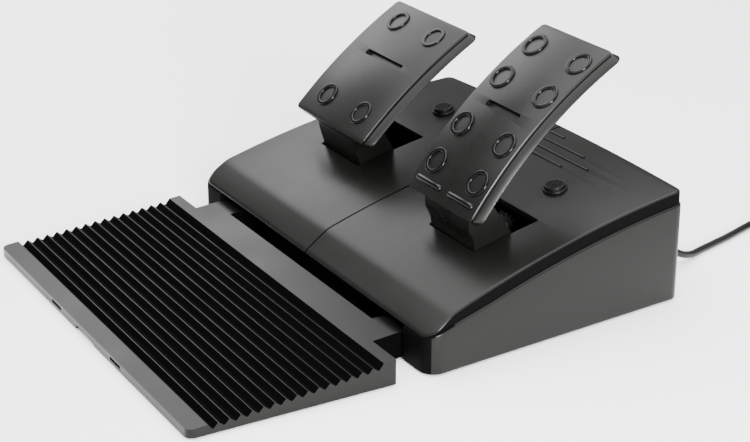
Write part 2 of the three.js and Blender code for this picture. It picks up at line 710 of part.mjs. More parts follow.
/** A pedal's arm: boxy neck, hub, toothed sector and a flange under the pedal plate. */
function pedalArm(pedal) {
  const x = PEDAL_X * pedal.side;
  const half = ARM_WIDTH / 2;
  const { pivot } = pedal;
  const topFront = onFace(pedal, 0.01, -PLATE_THICK - GAP).point;
  const topBack = onFace(pedal, neckShare(pedal), -PLATE_THICK - GAP).point;
  const outline = new THREE.Shape();
  outline.moveTo(topFront.x, topFront.y);
  outline.splineThru(pedal.neckFront.slice(1).map(([y, z]) => new THREE.Vector2(y, z)));
  outline.lineTo(pivot.x - HUB_RADIUS, pivot.y);
  outline.absarc(pivot.x, pivot.y, HUB_RADIUS, Math.PI, 2 * Math.PI, false);
  pedal.neckBack.slice(0, -1).forEach(([y, z]) => outline.lineTo(y, z));
  outline.lineTo(topBack.x, topBack.y);
  let arm = alongX(outline, x - half, x + half, 4);
  const pocketBottom = pivot.y + HUB_RADIUS + 2;
  const pocket = new THREE.Shape([
    new THREE.Vector2(pivot.x - HUB_RADIUS + ARM_WALL + 3, pocketBottom),
    new THREE.Vector2(pivot.x + HUB_RADIUS + 30, pocketBottom),
    new THREE.Vector2(topBack.x + 30, topBack.y - 7),
    new THREE.Vector2(topBack.x - 7, topBack.y - 9),
  ]);
  arm = arm.subtract(alongX(pocket, x - half + ARM_WALL, x + half - ARM_WALL));
  const gearX = gearMiddle(pedal);
  const gearHalf = GEAR_WIDTH / 2;
  const bridge = [x - pedal.side * half, gearX].sort((a, b) => a - b);
  arm = join(arm,
    sectorGear(pedal, gearX - gearHalf, gearX + gearHalf),
    barX(HUB_RADIUS, gearX - gearHalf, gearX + gearHalf, pivot.x, pivot.y),
    barX(HUB_RADIUS - 1, bridge[0] - 0.5, bridge[1] + 0.5, pivot.x, pivot.y));
  const footZ = pivot.y + SPRING_SEAT;
  const springY = pivot.x + SPRING_REACH;
  arm = join(arm,
    block(x - FOOT_WIDTH / 2, x + FOOT_WIDTH / 2, pivot.x, springY + SPRING_COIL + 1, footZ,
      footZ + FOOT_HEIGHT),
    post(STUB_RADIUS, x, springY, footZ - STUB_HEIGHT, footZ + 1));
  arm = arm.subtract(barX(SHAFT_RADIUS + GAP, x - 60, x + 60, pivot.x, pivot.y));
  for (const share of plateScrewShares(pedal)) {
    const drill = (radius, from, to) => toSolid(settle(
      new THREE.CylinderGeometry(radius, radius, to - from, 16).rotateX(Math.PI / 2),
      pedal, share, x, -(from + to) / 2));
    arm = cut(arm,
      drill(PLATE_BOSS_RADIUS + GAP, 0, PLATE_THICK + PLATE_BOSS / 2),
      drill(SMALL_SCREW.shank + GAP, 0, PLATE_THICK + 30));
    arm = arm.subtract(drill(SMALL_SCREW.head + GAP, PLATE_THICK + PLATE_SCREW_GRIP,
      PLATE_THICK + 34));
  }
  return arm;
}

const PLATE_SCREW_GRIP = 4.5; // arm material under each screw head

/** The screws that hold a pedal plate to its arm. */
function addPlateScrews(group, name, pedal) {
  plateScrewShares(pedal).forEach((share, i) => {
    const screw = screwShape(SMALL_SCREW, PLATE_SCREW_GRIP + PLATE_BOSS);
    settle(screw, pedal, share, PEDAL_X * pedal.side, -PLATE_THICK - PLATE_SCREW_GRIP - GAP);
    addPiece(group, `${name}_plate_screw_${i + 1}`, screw, zincSteel);
  });
}

/** A compression spring between the floor and the foot at the back of a pedal's arm. */
function returnSpring(pedal) {
  const bottom = SHELL_WALL + SPRING_WIRE + GAP;
  const top = pedal.pivot.y + SPRING_SEAT - SPRING_WIRE - GAP;
  const turnSteps = 10;
  const steps = SPRING_TURNS * turnSteps;
  const points = Array.from({ length: steps + 1 }, (_, i) => {
    const angle = i / turnSteps * 2 * Math.PI;
    return new THREE.Vector3(
      PEDAL_X * pedal.side + SPRING_COIL * Math.cos(angle),
      pedal.pivot.x + SPRING_REACH + SPRING_COIL * Math.sin(angle),
      THREE.MathUtils.mapLinear(i, 0, steps, bottom, top));
  });
  return tube(points, SPRING_WIRE, steps, 6);
}

// ---------------------------------------------------------------- heel plate

const heelTop = (y) => HEEL_FRONT_HEIGHT + HEEL_RISE * (y - heelFront);

function heelPlate() {
  const valley = (i) => heelFront + FIRST_VALLEY + i * RIDGE_PITCH;
  const lastValley = valley(RIDGE_COUNT);
  const outline = [
    new THREE.Vector2(heelFront, 0),
    new THREE.Vector2(heelFront, heelTop(heelFront)),
    new THREE.Vector2(heelFront + FRONT_STRIP, heelTop(heelFront + FRONT_STRIP)),
  ];
  for (let i = 0; i <= RIDGE_COUNT; i += 1) {
    outline.push(new THREE.Vector2(valley(i), heelTop(valley(i)) - RIDGE_DEPTH));
    if (i < RIDGE_COUNT) {
      const crest = valley(i) + RIDGE_PITCH / 2;
      outline.push(new THREE.Vector2(crest, heelTop(crest) - RIDGE_DROP));
    }
  }
  const backStrip = Math.min(lastValley + RIDGE_PITCH / 2, -HEEL_SHOULDER_GAP - BACK_STRIP);
  outline.push(
    new THREE.Vector2(backStrip, heelTop(backStrip)),
    new THREE.Vector2(-HEEL_MIDDLE_GAP, heelTop(-HEEL_MIDDLE_GAP)),
    new THREE.Vector2(-HEEL_MIDDLE_GAP, 0),
  );
  const half = HEEL_WIDTH / 2;
  let plate = alongX(outline, -half, half);
  for (const side of [-1, 1]) {
    const [low, high] = [side * TAB_OUTER, side * (half + 1)].sort((a, b) => a - b);
    plate = plate.subtract(block(low, high, -HEEL_SHOULDER_GAP, 1, -1, tall));
    plate = plate.add(hingeTab(side));
  }
  plate = cut(plate, ...heelCells(),
    block(-NOTCH_WIDTH / 2, NOTCH_WIDTH / 2, heelFront - 1, heelFront + NOTCH_DEPTH, -1,
      NOTCH_HEIGHT));
  for (const [x, y] of heelFootPlaces) {
    plate = plate.subtract(post(HEEL_FOOT_RADIUS + GAP, x, y, -1, FOOT_THICK - FOOT_PROUD + GAP));
  }
  return plate;
}

const heelFootPlaces = [-1, 1].map((side) => [
  side * (HEEL_WIDTH / 2 - HEEL_FOOT.setIn), heelFront + HEEL_FOOT.setBack]);

/** A hinge tab of the heel plate, with a blind hole for its pin. */
function hingeTab(side) {
  const [low, high] = [side * TAB_INNER, side * TAB_OUTER].sort((a, b) => a - b);
  const shape = new THREE.Shape();
  const edge = -HEEL_MIDDLE_GAP - 2;
  shape.moveTo(edge, 0);
  shape.lineTo(edge, heelTop(edge));
  shape.lineTo(-1.8, heelTop(-1.8));
  shape.quadraticCurveTo(HINGE_Y - 1, heelTop(-1.8), HINGE_Y + KNUCKLE * 0.7, HINGE_Z + KNUCKLE * 0.7);
  shape.absarc(HINGE_Y, HINGE_Z, KNUCKLE, Math.PI / 4, -Math.PI / 2, true);
  shape.lineTo(-HEEL_MIDDLE_GAP, 0);
  const hole = [side * TAB_OUTER + side, side * (recessHalf - HINGE_PIN_LENGTH - RUN)]
    .sort((a, b) => a - b);
  return alongX(shape, low, high, 6)
    .subtract(barX(HINGE_PIN + GAP, hole[0], hole[1], HINGE_Y, HINGE_Z));
}

/** The open cells under the heel plate, between its ribs. */
function heelCells() {
  const columns = 9;
  const rows = 3;
  const start = heelFront + 36;
  const end = -HEEL_SHOULDER_GAP - 6;
  const half = HEEL_WIDTH / 2 - 5;
  const cellWidth = (2 * half - CELL_RIB * (columns - 1)) / columns;
  const cellDepth = (end - start - CELL_RIB * (rows - 1)) / rows;
  const cells = [];
  for (let row = 0; row < rows; row += 1) {
    const near = start + row * (cellDepth + CELL_RIB);
    const far = near + cellDepth;
    const roof = (y) => heelTop(y) - RIDGE_DEPTH - CELL_ROOF;
    const outline = [[near, -1], [far, -1], [far, roof(far)], [near, roof(near)]]
      .map(([y, z]) => new THREE.Vector2(y, z));
    for (let column = 0; column < columns; column += 1) {
      const left = -half + column * (cellWidth + CELL_RIB);
      cells.push(alongX(outline, left, left + cellWidth));
    }
  }
  return cells;
}

// ---------------------------------------------------------------- housing pieces

addPiece(housing, 'lower_shell', lowerShell(), satinBlack);
addPiece(housing, 'top_cover', topCover(), satinBlack);

screwPlaces.forEach(([x, y], i) => {
  const length = Math.min(16, coverTop(y) - COVER_WALL - 4 - screwSeat);
  const screw = screwShape(SCREW, length).translate(x, y, screwSeat - GAP);
  addPiece(housing, `shell_screw_${i + 1}`, screw, zincSteel);
});

const footNames = ['front_left', 'front_right', 'back_left', 'back_right'];
footPlaces.forEach(([x, y], i) => {
  const foot = post(FOOT_RADIUS, x, y, -FOOT_PROUD, FOOT_THICK - FOOT_PROUD);
  addPiece(housing, `foot_${footNames[i]}`, foot, rubber);
});

const board = cut(
  block(-BOARD.width / 2, BOARD.width / 2, BOARD.y - BOARD.depth / 2, BOARD.y + BOARD.depth / 2,
    SHELL_WALL + BOARD.lift + GAP, SHELL_WALL + BOARD.lift + GAP + BOARD.thick),
  ...[-1, 1].map((side) => post(SMALL_SCREW.shank + GAP, side * boardScrewX, BOARD.y, 0, 20)));
const SOCKET_SPACING = 16;
const boardTop = SHELL_WALL + BOARD.lift + GAP + BOARD.thick;
const sockets = [-SOCKET_SPACING, 0, SOCKET_SPACING].map((x) => (
  block(x - 5, x + 5, BOARD.y - 4, BOARD.y + 4, boardTop - 0.2, boardTop + 5)));
addPiece(housing, 'circuit_board', join(board, ...sockets), boardGreen);
[-1, 1].forEach((side, i) => {
  const screw = screwShape(SMALL_SCREW, 5).rotateX(Math.PI)
    .translate(side * boardScrewX, BOARD.y, boardTop + GAP);
  addPiece(housing, `board_screw_${i + 1}`, screw, zincSteel);
});

// ---------------------------------------------------------------- pedals, bearings, sensors

for (const [name, pedal] of Object.entries(pedals)) {
  const x = PEDAL_X * pedal.side;
  const { pivot, side } = pedal;
  const gear = pinionCentre(pedal);
  const pedalGroup = new THREE.Group();
  housing.add(pedalGroup);
  addPiece(pedalGroup, `${name}_pedal_plate`, pedalPlate(pedal), satinBlack);
  addPiece(pedalGroup, `${name}_arm`, pedalArm(pedal), satinBlack);
  addPlateScrews(pedalGroup, name, pedal);
  const shaftEnds = [
    x + side * (OUTER_TOWER + TOWER_WIDTH / 2),
    x - side * (INNER_TOWER + TOWER_WIDTH / 2),
  ].sort((a, b) => a - b);
  addPiece(housing, `${name}_shaft`, barX(SHAFT_RADIUS, shaftEnds[0], shaftEnds[1], pivot.x,
    pivot.y), steel);
  [['outer', x + side * OUTER_TOWER], ['inner', x - side * INNER_TOWER]].forEach(([end, capX]) => {
    const cap = cut(
      block(capX - TOWER_WIDTH / 2, capX + TOWER_WIDTH / 2, pivot.x - TOWER_HALF,
        pivot.x + TOWER_HALF, pivot.y + GAP, pivot.y + CAP_HEIGHT),
      barX(SHAFT_RADIUS + GAP, capX - TOWER_WIDTH, capX + TOWER_WIDTH, pivot.x, pivot.y),
      post(SMALL_SCREW.shank + GAP, capX, pivot.x + CAP_SCREW_Y, 0, tall));
    addPiece(housing, `${name}_bearing_cap_${end}`, cap, greyPlastic);
    const capScrew = screwShape(SMALL_SCREW, CAP_HEIGHT + 5).rotateX(Math.PI)
      .translate(capX, pivot.x + CAP_SCREW_Y, pivot.y + CAP_HEIGHT + GAP);
    addPiece(housing, `${name}_cap_screw_${end}`, capScrew, zincSteel);
  });
  addPiece(housing, `${name}_return_spring`, returnSpring(pedal), steel);

  const wallX = sensorWallX(pedal);
  const toX = (distance) => wallX + side * distance; // towards the pedal
  const sorted = (a, b) => [toX(a), toX(b)].sort((p, q) => p - q);
  const bodyEnds = sorted(-SENSOR_WALL / 2 - GAP - SENSOR_DEPTH, -SENSOR_WALL / 2 - GAP);
  const bushingEnds = sorted(-SENSOR_WALL / 2 - GAP - 1, SENSOR_WALL / 2 + 4);
  addPiece(housing, `${name}_sensor`, join(
    barX(SENSOR_RADIUS, ...bodyEnds, gear.x, gear.y),
    barX(BUSHING_RADIUS, ...bushingEnds, gear.x, gear.y)), greyPlastic);
  const nutEnds = sorted(SENSOR_WALL / 2 + GAP, SENSOR_WALL / 2 + GAP + 2.2);
  addPiece(housing, `${name}_sensor_nut`,
    barX(NUT_RADIUS, ...nutEnds, gear.x, gear.y, 6)
      .subtract(barX(BUSHING_RADIUS + GAP, nutEnds[0] - 1, nutEnds[1] + 1, gear.x, gear.y)),
    zincSteel);
  const shaftTip = Math.abs(gearMiddle(pedal)) + GEAR_WIDTH / 2 + 0.8;
  const sensorShaftEnds = [toX(SENSOR_WALL / 2 + 4 + GAP), side * shaftTip].sort((p, q) => p - q);
  addPiece(housing, `${name}_sensor_shaft`, barX(SENSOR_SHAFT, ...sensorShaftEnds, gear.x, gear.y,
    16), steel);
  addPiece(housing, `${name}_pinion`, pinion(pedal), blackNylon);

  const button = turned([
    [0, 0],
    [BUTTON_RADIUS - 0.6, 0],
    [BUTTON_RADIUS, -0.6],
    [BUTTON_RADIUS, GAP - BUTTON_HEIGHT],
    [STEM_RADIUS, GAP - BUTTON_HEIGHT],
    [STEM_RADIUS, -BUTTON_HEIGHT - STEM_LENGTH],
    [0, -BUTTON_HEIGHT - STEM_LENGTH],
  ].reverse());
  addPiece(housing, `${name}_button`, onButton(pedal, button), rubber);
}

// ---------------------------------------------------------------- heel plate and its feet

addPiece(housing, 'heel_plate', heelPlate(), mattBlack);
heelFootPlaces.forEach(([x, y], i) => {
  const foot = post(HEEL_FOOT_RADIUS, x, y, -FOOT_PROUD, FOOT_THICK - FOOT_PROUD);
  addPiece(housing, `heel_foot_${i === 0 ? 'left' : 'right'}`, foot, rubber);
});

// ---------------------------------------------------------------- leads

const leadExitY = wallBack(LEAD_X) + GAP * 2;
const bootShape = new THREE.LatheGeometry([
  [0, -SHELL_WALL - GAP * 5 - 2],
  [BOOT.collar, -SHELL_WALL - GAP * 5 - 2],
  [BOOT.collar, -SHELL_WALL - GAP * 5],
  [BOOT.neck, -SHELL_WALL - GAP * 5],
  [BOOT.neck, 0],
  [BOOT.collar, 0],
  [BOOT.collar, BOOT.collarThick],
  [BOOT.root, BOOT.collarThick],
  [BOOT.tip, BOOT.collarThick + BOOT_LENGTH],
  [0, BOOT.collarThick + BOOT_LENGTH],
].map(([r, y]) => new THREE.Vector2(r, y)), 20)
  .translate(LEAD_X, leadExitY, LEAD_Z - FOOT_PROUD);
addPiece(housing, 'strain_relief', bootShape, rubber);

const innerZ = LEAD_Z - FOOT_PROUD;
const innerStart = leadExitY - SHELL_WALL - GAP * 6 - 2;
addPiece(housing, 'inner_lead', tube([
  new THREE.Vector3(LEAD_X, innerStart, innerZ),
  new THREE.Vector3(LEAD_X - 1, innerStart - 7, innerZ),
  new THREE.Vector3(LEAD_X - 10, innerStart - 14, innerZ),
  new THREE.Vector3(LEAD_X - 34, BOARD.y + 14, innerZ + 2),
  new THREE.Vector3(SOCKET_SPACING + 3, BOARD.y + 12, boardTop + 3),
  new THREE.Vector3(SOCKET_SPACING, BOARD.y + 4 + GAP * 4, boardTop + 3),
], LEAD_RADIUS * 0.8, 18), rubber);

for (const [name, pedal] of Object.entries(pedals)) {
  const { side } = pedal;
  const gear = pinionCentre(pedal);
  const sensorBack = side * (Math.abs(sensorWallX(pedal)) - SENSOR_WALL / 2 - GAP - SENSOR_DEPTH);
  addPiece(housing, `${name}_sensor_lead`, tube([
    new THREE.Vector3(sensorBack - side * GAP * 3, gear.x, gear.y),
    new THREE.Vector3(sensorBack - side * GAP * 5, gear.x, gear.y),
    new THREE.Vector3(sensorBack - side * 5, gear.x + 3, gear.y - 2),
    new THREE.Vector3(side * 5, gear.x + 12, gear.y - 10),
    new THREE.Vector3(side * 4, BOARD.y - 12, boardTop + 6),
    new THREE.Vector3(side * 3, BOARD.y - 4 - GAP * 2, boardTop + 3),
  ], 1.2, 14), rubber);
}

// The lead outside the housing, in the unit's own frame: it drops to the floor, drifts towards
// the left and then swings right into its coil.
const bootEnd = leadExitY + BOOT.collarThick + BOOT_LENGTH + GAP * 2 + housing.position.y;
const leadRoute = [
  [74, bootEnd, 9.2],
  [74, bootEnd + 1, 9.2],
  [73.9, 159.5, 8.2],
  [73.2, 165, 5.4],
  [70.6, 173, 2.9],
  [67, 182, 2.1],
  [64.2, 192, 2.1],
  [60.9, 204, 2.1],
  [57.8, 213.5, 2.1],
  [54.4, 223.6, 2.1],
  [52.2, 231, 2.1],
  [51.3, 238, 2.1],
  [51.2, 243, 2.1],
].map(([x, y, z]) => new THREE.Vector3(x, y, z));
addPiece(unit, 'cable', tube(leadRoute, LEAD_RADIUS, 28), rubber);

const coilHalf = COIL_COLUMNS * LEAD_RADIUS;
const coilHeight = COIL_LAYERS * LEAD_RADIUS * 2;
const coilRing = new THREE.LatheGeometry([
  new THREE.Vector2(COIL_RADIUS - coilHalf, 0),
  new THREE.Vector2(COIL_RADIUS + coilHalf, 0),
  new THREE.Vector2(COIL_RADIUS + coilHalf, coilHeight - 1),
  new THREE.Vector2(COIL_RADIUS + coilHalf - 1, coilHeight),
  new THREE.Vector2(COIL_RADIUS - coilHalf + 1, coilHeight),
  new THREE.Vector2(COIL_RADIUS - coilHalf, coilHeight - 1),
  new THREE.Vector2(COIL_RADIUS - coilHalf, 0),
], 28).rotateX(Math.PI / 2).translate(COIL_CENTRE.x, COIL_CENTRE.y, COIL_LIFT);
addPiece(unit, 'cable_coil', coilRing, rubber);

const tieRoom = GAP + TIE.thick;
const tieMiddle = COIL_CENTRE.x + COIL_RADIUS;
const tieY = [COIL_CENTRE.y - TIE.width / 2, COIL_CENTRE.y + TIE.width / 2];
addPiece(unit, 'coil_tie', cut(
  block(tieMiddle - coilHalf - tieRoom, tieMiddle + coilHalf + tieRoom, ...tieY,
    COIL_LIFT - tieRoom, COIL_LIFT + coilHeight + tieRoom),
  block(tieMiddle - coilHalf - GAP, tieMiddle + coilHalf + GAP, tieY[0] - 1, tieY[1] + 1,
    COIL_LIFT - GAP, COIL_LIFT + coilHeight + GAP)), rubber);

// The plug's end of the lead leaves the coil along a tangent.
const plugGroup = new THREE.Group();
const tailStart = COIL_RADIUS + coilHalf + LEAD_RADIUS + GAP;
plugGroup.position.set(COIL_CENTRE.x + tailStart * Math.cos(TAIL_ANGLE),
  COIL_CENTRE.y + tailStart * Math.sin(TAIL_ANGLE), 0);
plugGroup.rotation.z = TAIL_ANGLE - Math.PI / 2;
unit.add(plugGroup);
const plugMiddle = PLUG.height / 2;
addPiece(plugGroup, 'plug_lead', tube([
  new THREE.Vector3(0, 0, plugMiddle),
  new THREE.Vector3(TAIL_LENGTH / 3, 0, LEAD_RADIUS + GAP),
  new THREE.Vector3(TAIL_LENGTH - 3, 0, plugMiddle),
  new THREE.Vector3(TAIL_LENGTH, 0, plugMiddle),
], LEAD_RADIUS, 6), rubber);
const plugStart = TAIL_LENGTH + GAP * 2;
const plugBody = plugStart + PLUG.bootLength;
addPiece(plugGroup, 'plug', join(
  barX(PLUG.bootRadius, plugStart, plugBody + 1, 0, plugMiddle),
  block(plugBody, plugBody + PLUG.length, -PLUG.width / 2, PLUG.width / 2, 0, PLUG.height)),
greyPlastic);

export default unit;
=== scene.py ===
"""The looks of a racing wheel's two-pedal unit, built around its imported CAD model.

Pieces are drawn in millimetres in the housing's own frame: x = 0 on its middle plane, y = 0 at
its front lip and z = 0 at its underside. They are then put into the model's frame, in metres.
"""

import logging
import math
from dataclasses import dataclass, field
from enum import Enum
from typing import Callable, Iterable, Sequence

import bmesh
import bpy
from mathutils import Matrix, Vector


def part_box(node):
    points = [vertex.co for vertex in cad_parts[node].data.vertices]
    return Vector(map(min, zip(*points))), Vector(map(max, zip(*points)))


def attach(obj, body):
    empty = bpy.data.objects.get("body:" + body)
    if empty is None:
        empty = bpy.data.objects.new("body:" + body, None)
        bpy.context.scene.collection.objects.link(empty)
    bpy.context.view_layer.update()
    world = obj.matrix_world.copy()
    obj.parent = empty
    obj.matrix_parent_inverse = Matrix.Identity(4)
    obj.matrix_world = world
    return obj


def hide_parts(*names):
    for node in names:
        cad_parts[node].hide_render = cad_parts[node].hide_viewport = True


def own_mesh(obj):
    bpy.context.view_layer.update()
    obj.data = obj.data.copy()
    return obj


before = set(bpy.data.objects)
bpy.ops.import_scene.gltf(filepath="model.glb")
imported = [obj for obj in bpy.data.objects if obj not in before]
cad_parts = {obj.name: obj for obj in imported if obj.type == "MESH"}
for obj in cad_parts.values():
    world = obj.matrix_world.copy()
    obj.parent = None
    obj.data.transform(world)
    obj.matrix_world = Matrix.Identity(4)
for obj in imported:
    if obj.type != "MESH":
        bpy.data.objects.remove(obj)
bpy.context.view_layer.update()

logging.basicConfig(level=logging.INFO, format="%(message)s")
log = logging.getLogger("pedal_unit")

MM = 0.001
HOUSING_SHIFT = Vector((0.0, -20.1, 0.8))  # from the housing's frame to the model's, in mm
TO_MODEL = Matrix.Scale(MM, 4) @ Matrix.Translation(HOUSING_SHIFT)

Point = tuple[float, float]


class Body(str, Enum):
    """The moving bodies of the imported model."""

    HOUSING = "housing"
    THROTTLE = "throttle_pedal"
    BRAKE = "brake_pedal"
    HEEL = "heel_plate"


# ---------------------------------------------------------------- finishes


def linear(hex_colour: str) -> tuple[float, float, float, float]:
    """Turns an sRGB colour into the linear one that shaders take.

    Args:
        hex_colour: Six hex digits, such as "1c1c1b".

    Returns:
        Red, green, blue and alpha.
    """
    shares = [int(hex_colour[i : i + 2], 16) / 255 for i in (0, 2, 4)]
    red, green, blue = (
        share / 12.92 if share <= 0.04045 else ((share + 0.055) / 1.055) ** 2.4
        for share in shares
    )
    return (red, green, blue, 1.0)


def add_node(tree: bpy.types.NodeTree, kind: str, values: dict | None = None,
             **settings) -> bpy.types.Node:
    """Adds one shader node.

    Args:
        tree: The material's node tree.
        kind: The node's type, such as "ShaderNodeTexNoise".
        values: Input name to a constant, or to an output socket that it is linked to.
        settings: Properties of the node itself.

    Returns:
        The new node.
    """
    node = tree.nodes.new(kind)
    for name, value in settings.items():
        setattr(node, name, value)
    for name, value in (values or {}).items():
        if isinstance(value, bpy.types.NodeSocket):
            tree.links.new(value, node.inputs[name])
        else:
            node.inputs[name].default_value = value
    return node


@dataclass(frozen=True)
class Finish:
    """A moulded, drawn or plated surface: its colour, gloss, grain and slow unevenness."""

    name: str
    colour: str
    roughness: float
    grain_mm: float = 0.8
    grain_depth_mm: float = 0.02
    unevenness: float = 0.05
    patch_mm: float = 45.0
    metallic: float = 0.0
    ior: float = 1.5
    tint: float = 0.12

    def material(self) -> bpy.types.Material:
        """Makes the material, or returns the one that was already made."""
        known = bpy.data.materials.get(self.name)
        if known:
            return known
        material = bpy.data.materials.new(self.name)
        material.use_nodes = True
        tree = material.node_tree
        shader = tree.nodes["Principled BSDF"]
        where = add_node(tree, "ShaderNodeTexCoord").outputs["Object"]
        # The mould's spark-eroded grain, which breaks up reflections.
        grain = add_node(tree, "ShaderNodeTexNoise", {
            "Vector": where, "Scale": 1 / (self.grain_mm * MM), "Detail": 2.0})
        bump = add_node(tree, "ShaderNodeBump", {
            "Height": grain.outputs["Fac"], "Strength": 1.0,
            "Distance": self.grain_depth_mm * MM})
        # Slow changes in gloss, where the melt flowed or a hand has been.
        patches = add_node(tree, "ShaderNodeTexNoise", {
            "Vector": where, "Scale": 1 / (self.patch_mm * MM), "Detail": 3.0})
        gloss = add_node(tree, "ShaderNodeMapRange", {
            "Value": patches.outputs["Fac"], "From Min": 0.3, "From Max": 0.7,
            "To Min": self.roughness - self.unevenness,
            "To Max": self.roughness + self.unevenness})
        # The grain's hollows are a shade darker than its crests.
        shades = add_node(tree, "ShaderNodeValToRGB", {"Fac": grain.outputs["Fac"]})
        base = linear(self.colour)[:3]
        stops = shades.color_ramp.elements
        for stop, position, share in zip(stops, (0.35, 0.65), (1 - self.tint, 1 + self.tint)):
            stop.position = position
            stop.color = (*(min(c * share, 1.0) for c in base), 1.0)
        tree.links.new(shades.outputs["Color"], shader.inputs["Base Color"])
        tree.links.new(gloss.outputs["Result"], shader.inputs["Roughness"])
        tree.links.new(bump.outputs["Normal"], shader.inputs["Normal"])
        shader.inputs["Metallic"].default_value = self.metallic
        if self.metallic == 0:
            shader.inputs["IOR"].default_value = self.ior
        return material


# The blacks' refractive indexes are matched to how little the real plastics mirror, so they are
# under ABS's own 1.5; the two copies that paint shade go lower still, as part of their painted shade.
# Each grain is drawn about twice as coarse as a real mould's, so that it shows.
# Injection-moulded black ABS with a fine spark-eroded grain: satin, grey where it mirrors light.
SATIN_ABS = Finish("satin_black_abs", "0c0c0b", 0.31, ior=1.27)
# Painted shade: a darker, duller, barely mirroring copy of the same ABS, given to faces that lie in
# shade:
# the cover's side strip, and the recess at the front with the faces beside it.
SHADE_PAINTED_ABS = Finish("shade_painted_black_abs", "050505", 0.6, unevenness=0.03, ior=1.08)
# Painted shade: a darker, barely mirroring copy of the heel plate's black ABS, given to its ridges'
# slopes and its tabs' sides, which lie in shade. Its coarser grain for grip is real.
HEEL_SHADE_ABS = Finish("heel_shade_painted_abs", "030303", 0.6, grain_mm=0.6, grain_depth_mm=0.03, ior=1.06)
# Black ABS of the pedal faces: satin, a little glossier than the housing from use.
PEDAL_ABS = Finish("pedal_black_abs", "0b0b0a", 0.3, grain_mm=0.7, grain_depth_mm=0.015, ior=1.31)
# Polished black ABS of the faces' raised rings and bars: dark, with small sharp glints.
GLOSS_ABS = Finish("polished_black_abs", "050505", 0.14, grain_depth_mm=0.002, unevenness=0.03, ior=1.3)
# Moulded natural rubber: soft sheen on its edges, dark everywhere else.
RUBBER = Finish("moulded_black_rubber", "090909", 0.5, grain_mm=0.5, grain_depth_mm=0.02, ior=1.25)
# Extruded PVC sheath: satin, slightly uneven along its length.
SHEATH = Finish("extruded_pvc_sheath", "0e0e0d", 0.4, grain_mm=1.2, grain_depth_mm=0.01,
                patch_mm=30, ior=1.3)
# Moulded glass-filled nylon of bearing caps, sensors and the plug: grey and half dull.
GREY_NYLON = Finish("grey_filled_nylon", "3a3c3e", 0.5)
# Moulded unfilled nylon of the pinions: black, slightly waxy.
BLACK_NYLON = Finish("black_nylon", "141414", 0.45)
# Zinc plated steel of screws and nuts: pale, softly mirroring, faintly mottled.
ZINC = Finish("zinc_plated_steel", "b9bcbf", 0.35, metallic=1.0, tint=0.06)
# Ground steel of shafts and drawn steel of spring wire: brighter and smoother.
GROUND_STEEL = Finish("ground_steel", "c8cacc", 0.24, metallic=1.0, tint=0.04, grain_depth_mm=0.004)
# Epoxy board under screen-printed solder resist: green and glossy over a faint weave.
SOLDER_RESIST = Finish("green_solder_resist", "1d5a36", 0.3, tint=0.1, grain_mm=2.0)
# Gold-plated plug contacts: warm and bright.
GILT = Finish("gilt_contact", "c9a24a", 0.25, metallic=1.0, tint=0.03)


# ---------------------------------------------------------------- mesh tools


def piece_from(bm: bmesh.types.BMesh, name: str, to_model: bool = True) -> bpy.types.Object:
    """Turns a bmesh into an object at the origin.

    Args:
        bm: The shape, which is freed.
        name: The object's name.
        to_model: Whether the shape is still in the housing's frame and in millimetres.

    Returns:
        The new object.
    """
    if to_model:
        bmesh.ops.transform(bm, matrix=TO_MODEL, verts=bm.verts)
    bmesh.ops.remove_doubles(bm, verts=bm.verts, dist=1e-7)
    bmesh.ops.recalc_face_normals(bm, faces=bm.faces)
    mesh = bpy.data.meshes.new(name)
    bm.to_mesh(mesh)
    bm.free()
    piece = bpy.data.objects.new(name, mesh)
    bpy.context.scene.collection.objects.link(piece)
    return piece


def box(bm: bmesh.types.BMesh, low: Sequence[float], high: Sequence[float],
        round_z: float = 0.0) -> None:
    """Adds a box, with its upright edges rounded if asked.

    Args:
        bm: The shape that it is added to.
        low: Its lowest corner.
        high: Its highest corner.
        round_z: The radius of its upright edges.
    """
    size = [b - a for a, b in zip(low, high)]
    middle = [(a + b) / 2 for a, b in zip(low, high)]
    made = bmesh.ops.create_cube(
        bm, size=1.0, matrix=Matrix.Translation(middle) @ Matrix.Diagonal((*size, 1.0)))
    if round_z > 0:
        edges = {e for v in made["verts"] for e in v.link_edges}
        upright = [e for e in edges if abs(e.verts[0].co.z - e.verts[1].co.z) > 0.5 * size[2]]
        bmesh.ops.bevel(bm, geom=upright, offset=round_z, segments=5, profile=0.5,
                        affect="EDGES", material=-1)


def rod(bm: bmesh.types.BMesh, radius: float, start: Sequence[float], end: Sequence[float],
        sides: int = 32, end_radius: float | None = None) -> None:
    """Adds a round bar, or a tapered one, between two points.

    Args:
        bm: The shape that it is added to.
        radius: Its radius at the start.
        start: The middle of its first end.
        end: The middle of its last end.
        sides: How many flats go round it.
        end_radius: Its radius at the end, if it tapers.
    """
    first, last = Vector(start), Vector(end)
    along = last - first
    turn = along.to_track_quat("Z", "Y").to_matrix().to_4x4()
    bmesh.ops.create_cone(
        bm, cap_ends=True, segments=sides, radius1=radius,
        radius2=radius if end_radius is None else end_radius, depth=along.length,
        matrix=Matrix.Translation((first + last) / 2) @ turn)


def turned(profile: Iterable[Point], sides: int = 48) -> bmesh.types.BMesh:
    """Spins a profile about Z.

    Args:
        profile: (radius, height) points, from the axis back to the axis or closed by hand.
        sides: How many steps go round.

    Returns:
        The closed shape.
    """
    bm = bmesh.new()
    verts = [bm.verts.new((r, 0.0, z)) for r, z in profile]
    edges = [bm.edges.new(pair) for pair in zip(verts, verts[1:])]
    bmesh.ops.spin(bm, geom=verts + edges, axis=(0, 0, 1), cent=(0, 0, 0), angle=2 * math.pi,
                   steps=sides, use_merge=True, use_duplicate=False)
    bmesh.ops.remove_doubles(bm, verts=bm.verts, dist=1e-5)
    bmesh.ops.recalc_face_normals(bm, faces=bm.faces)
    return bm


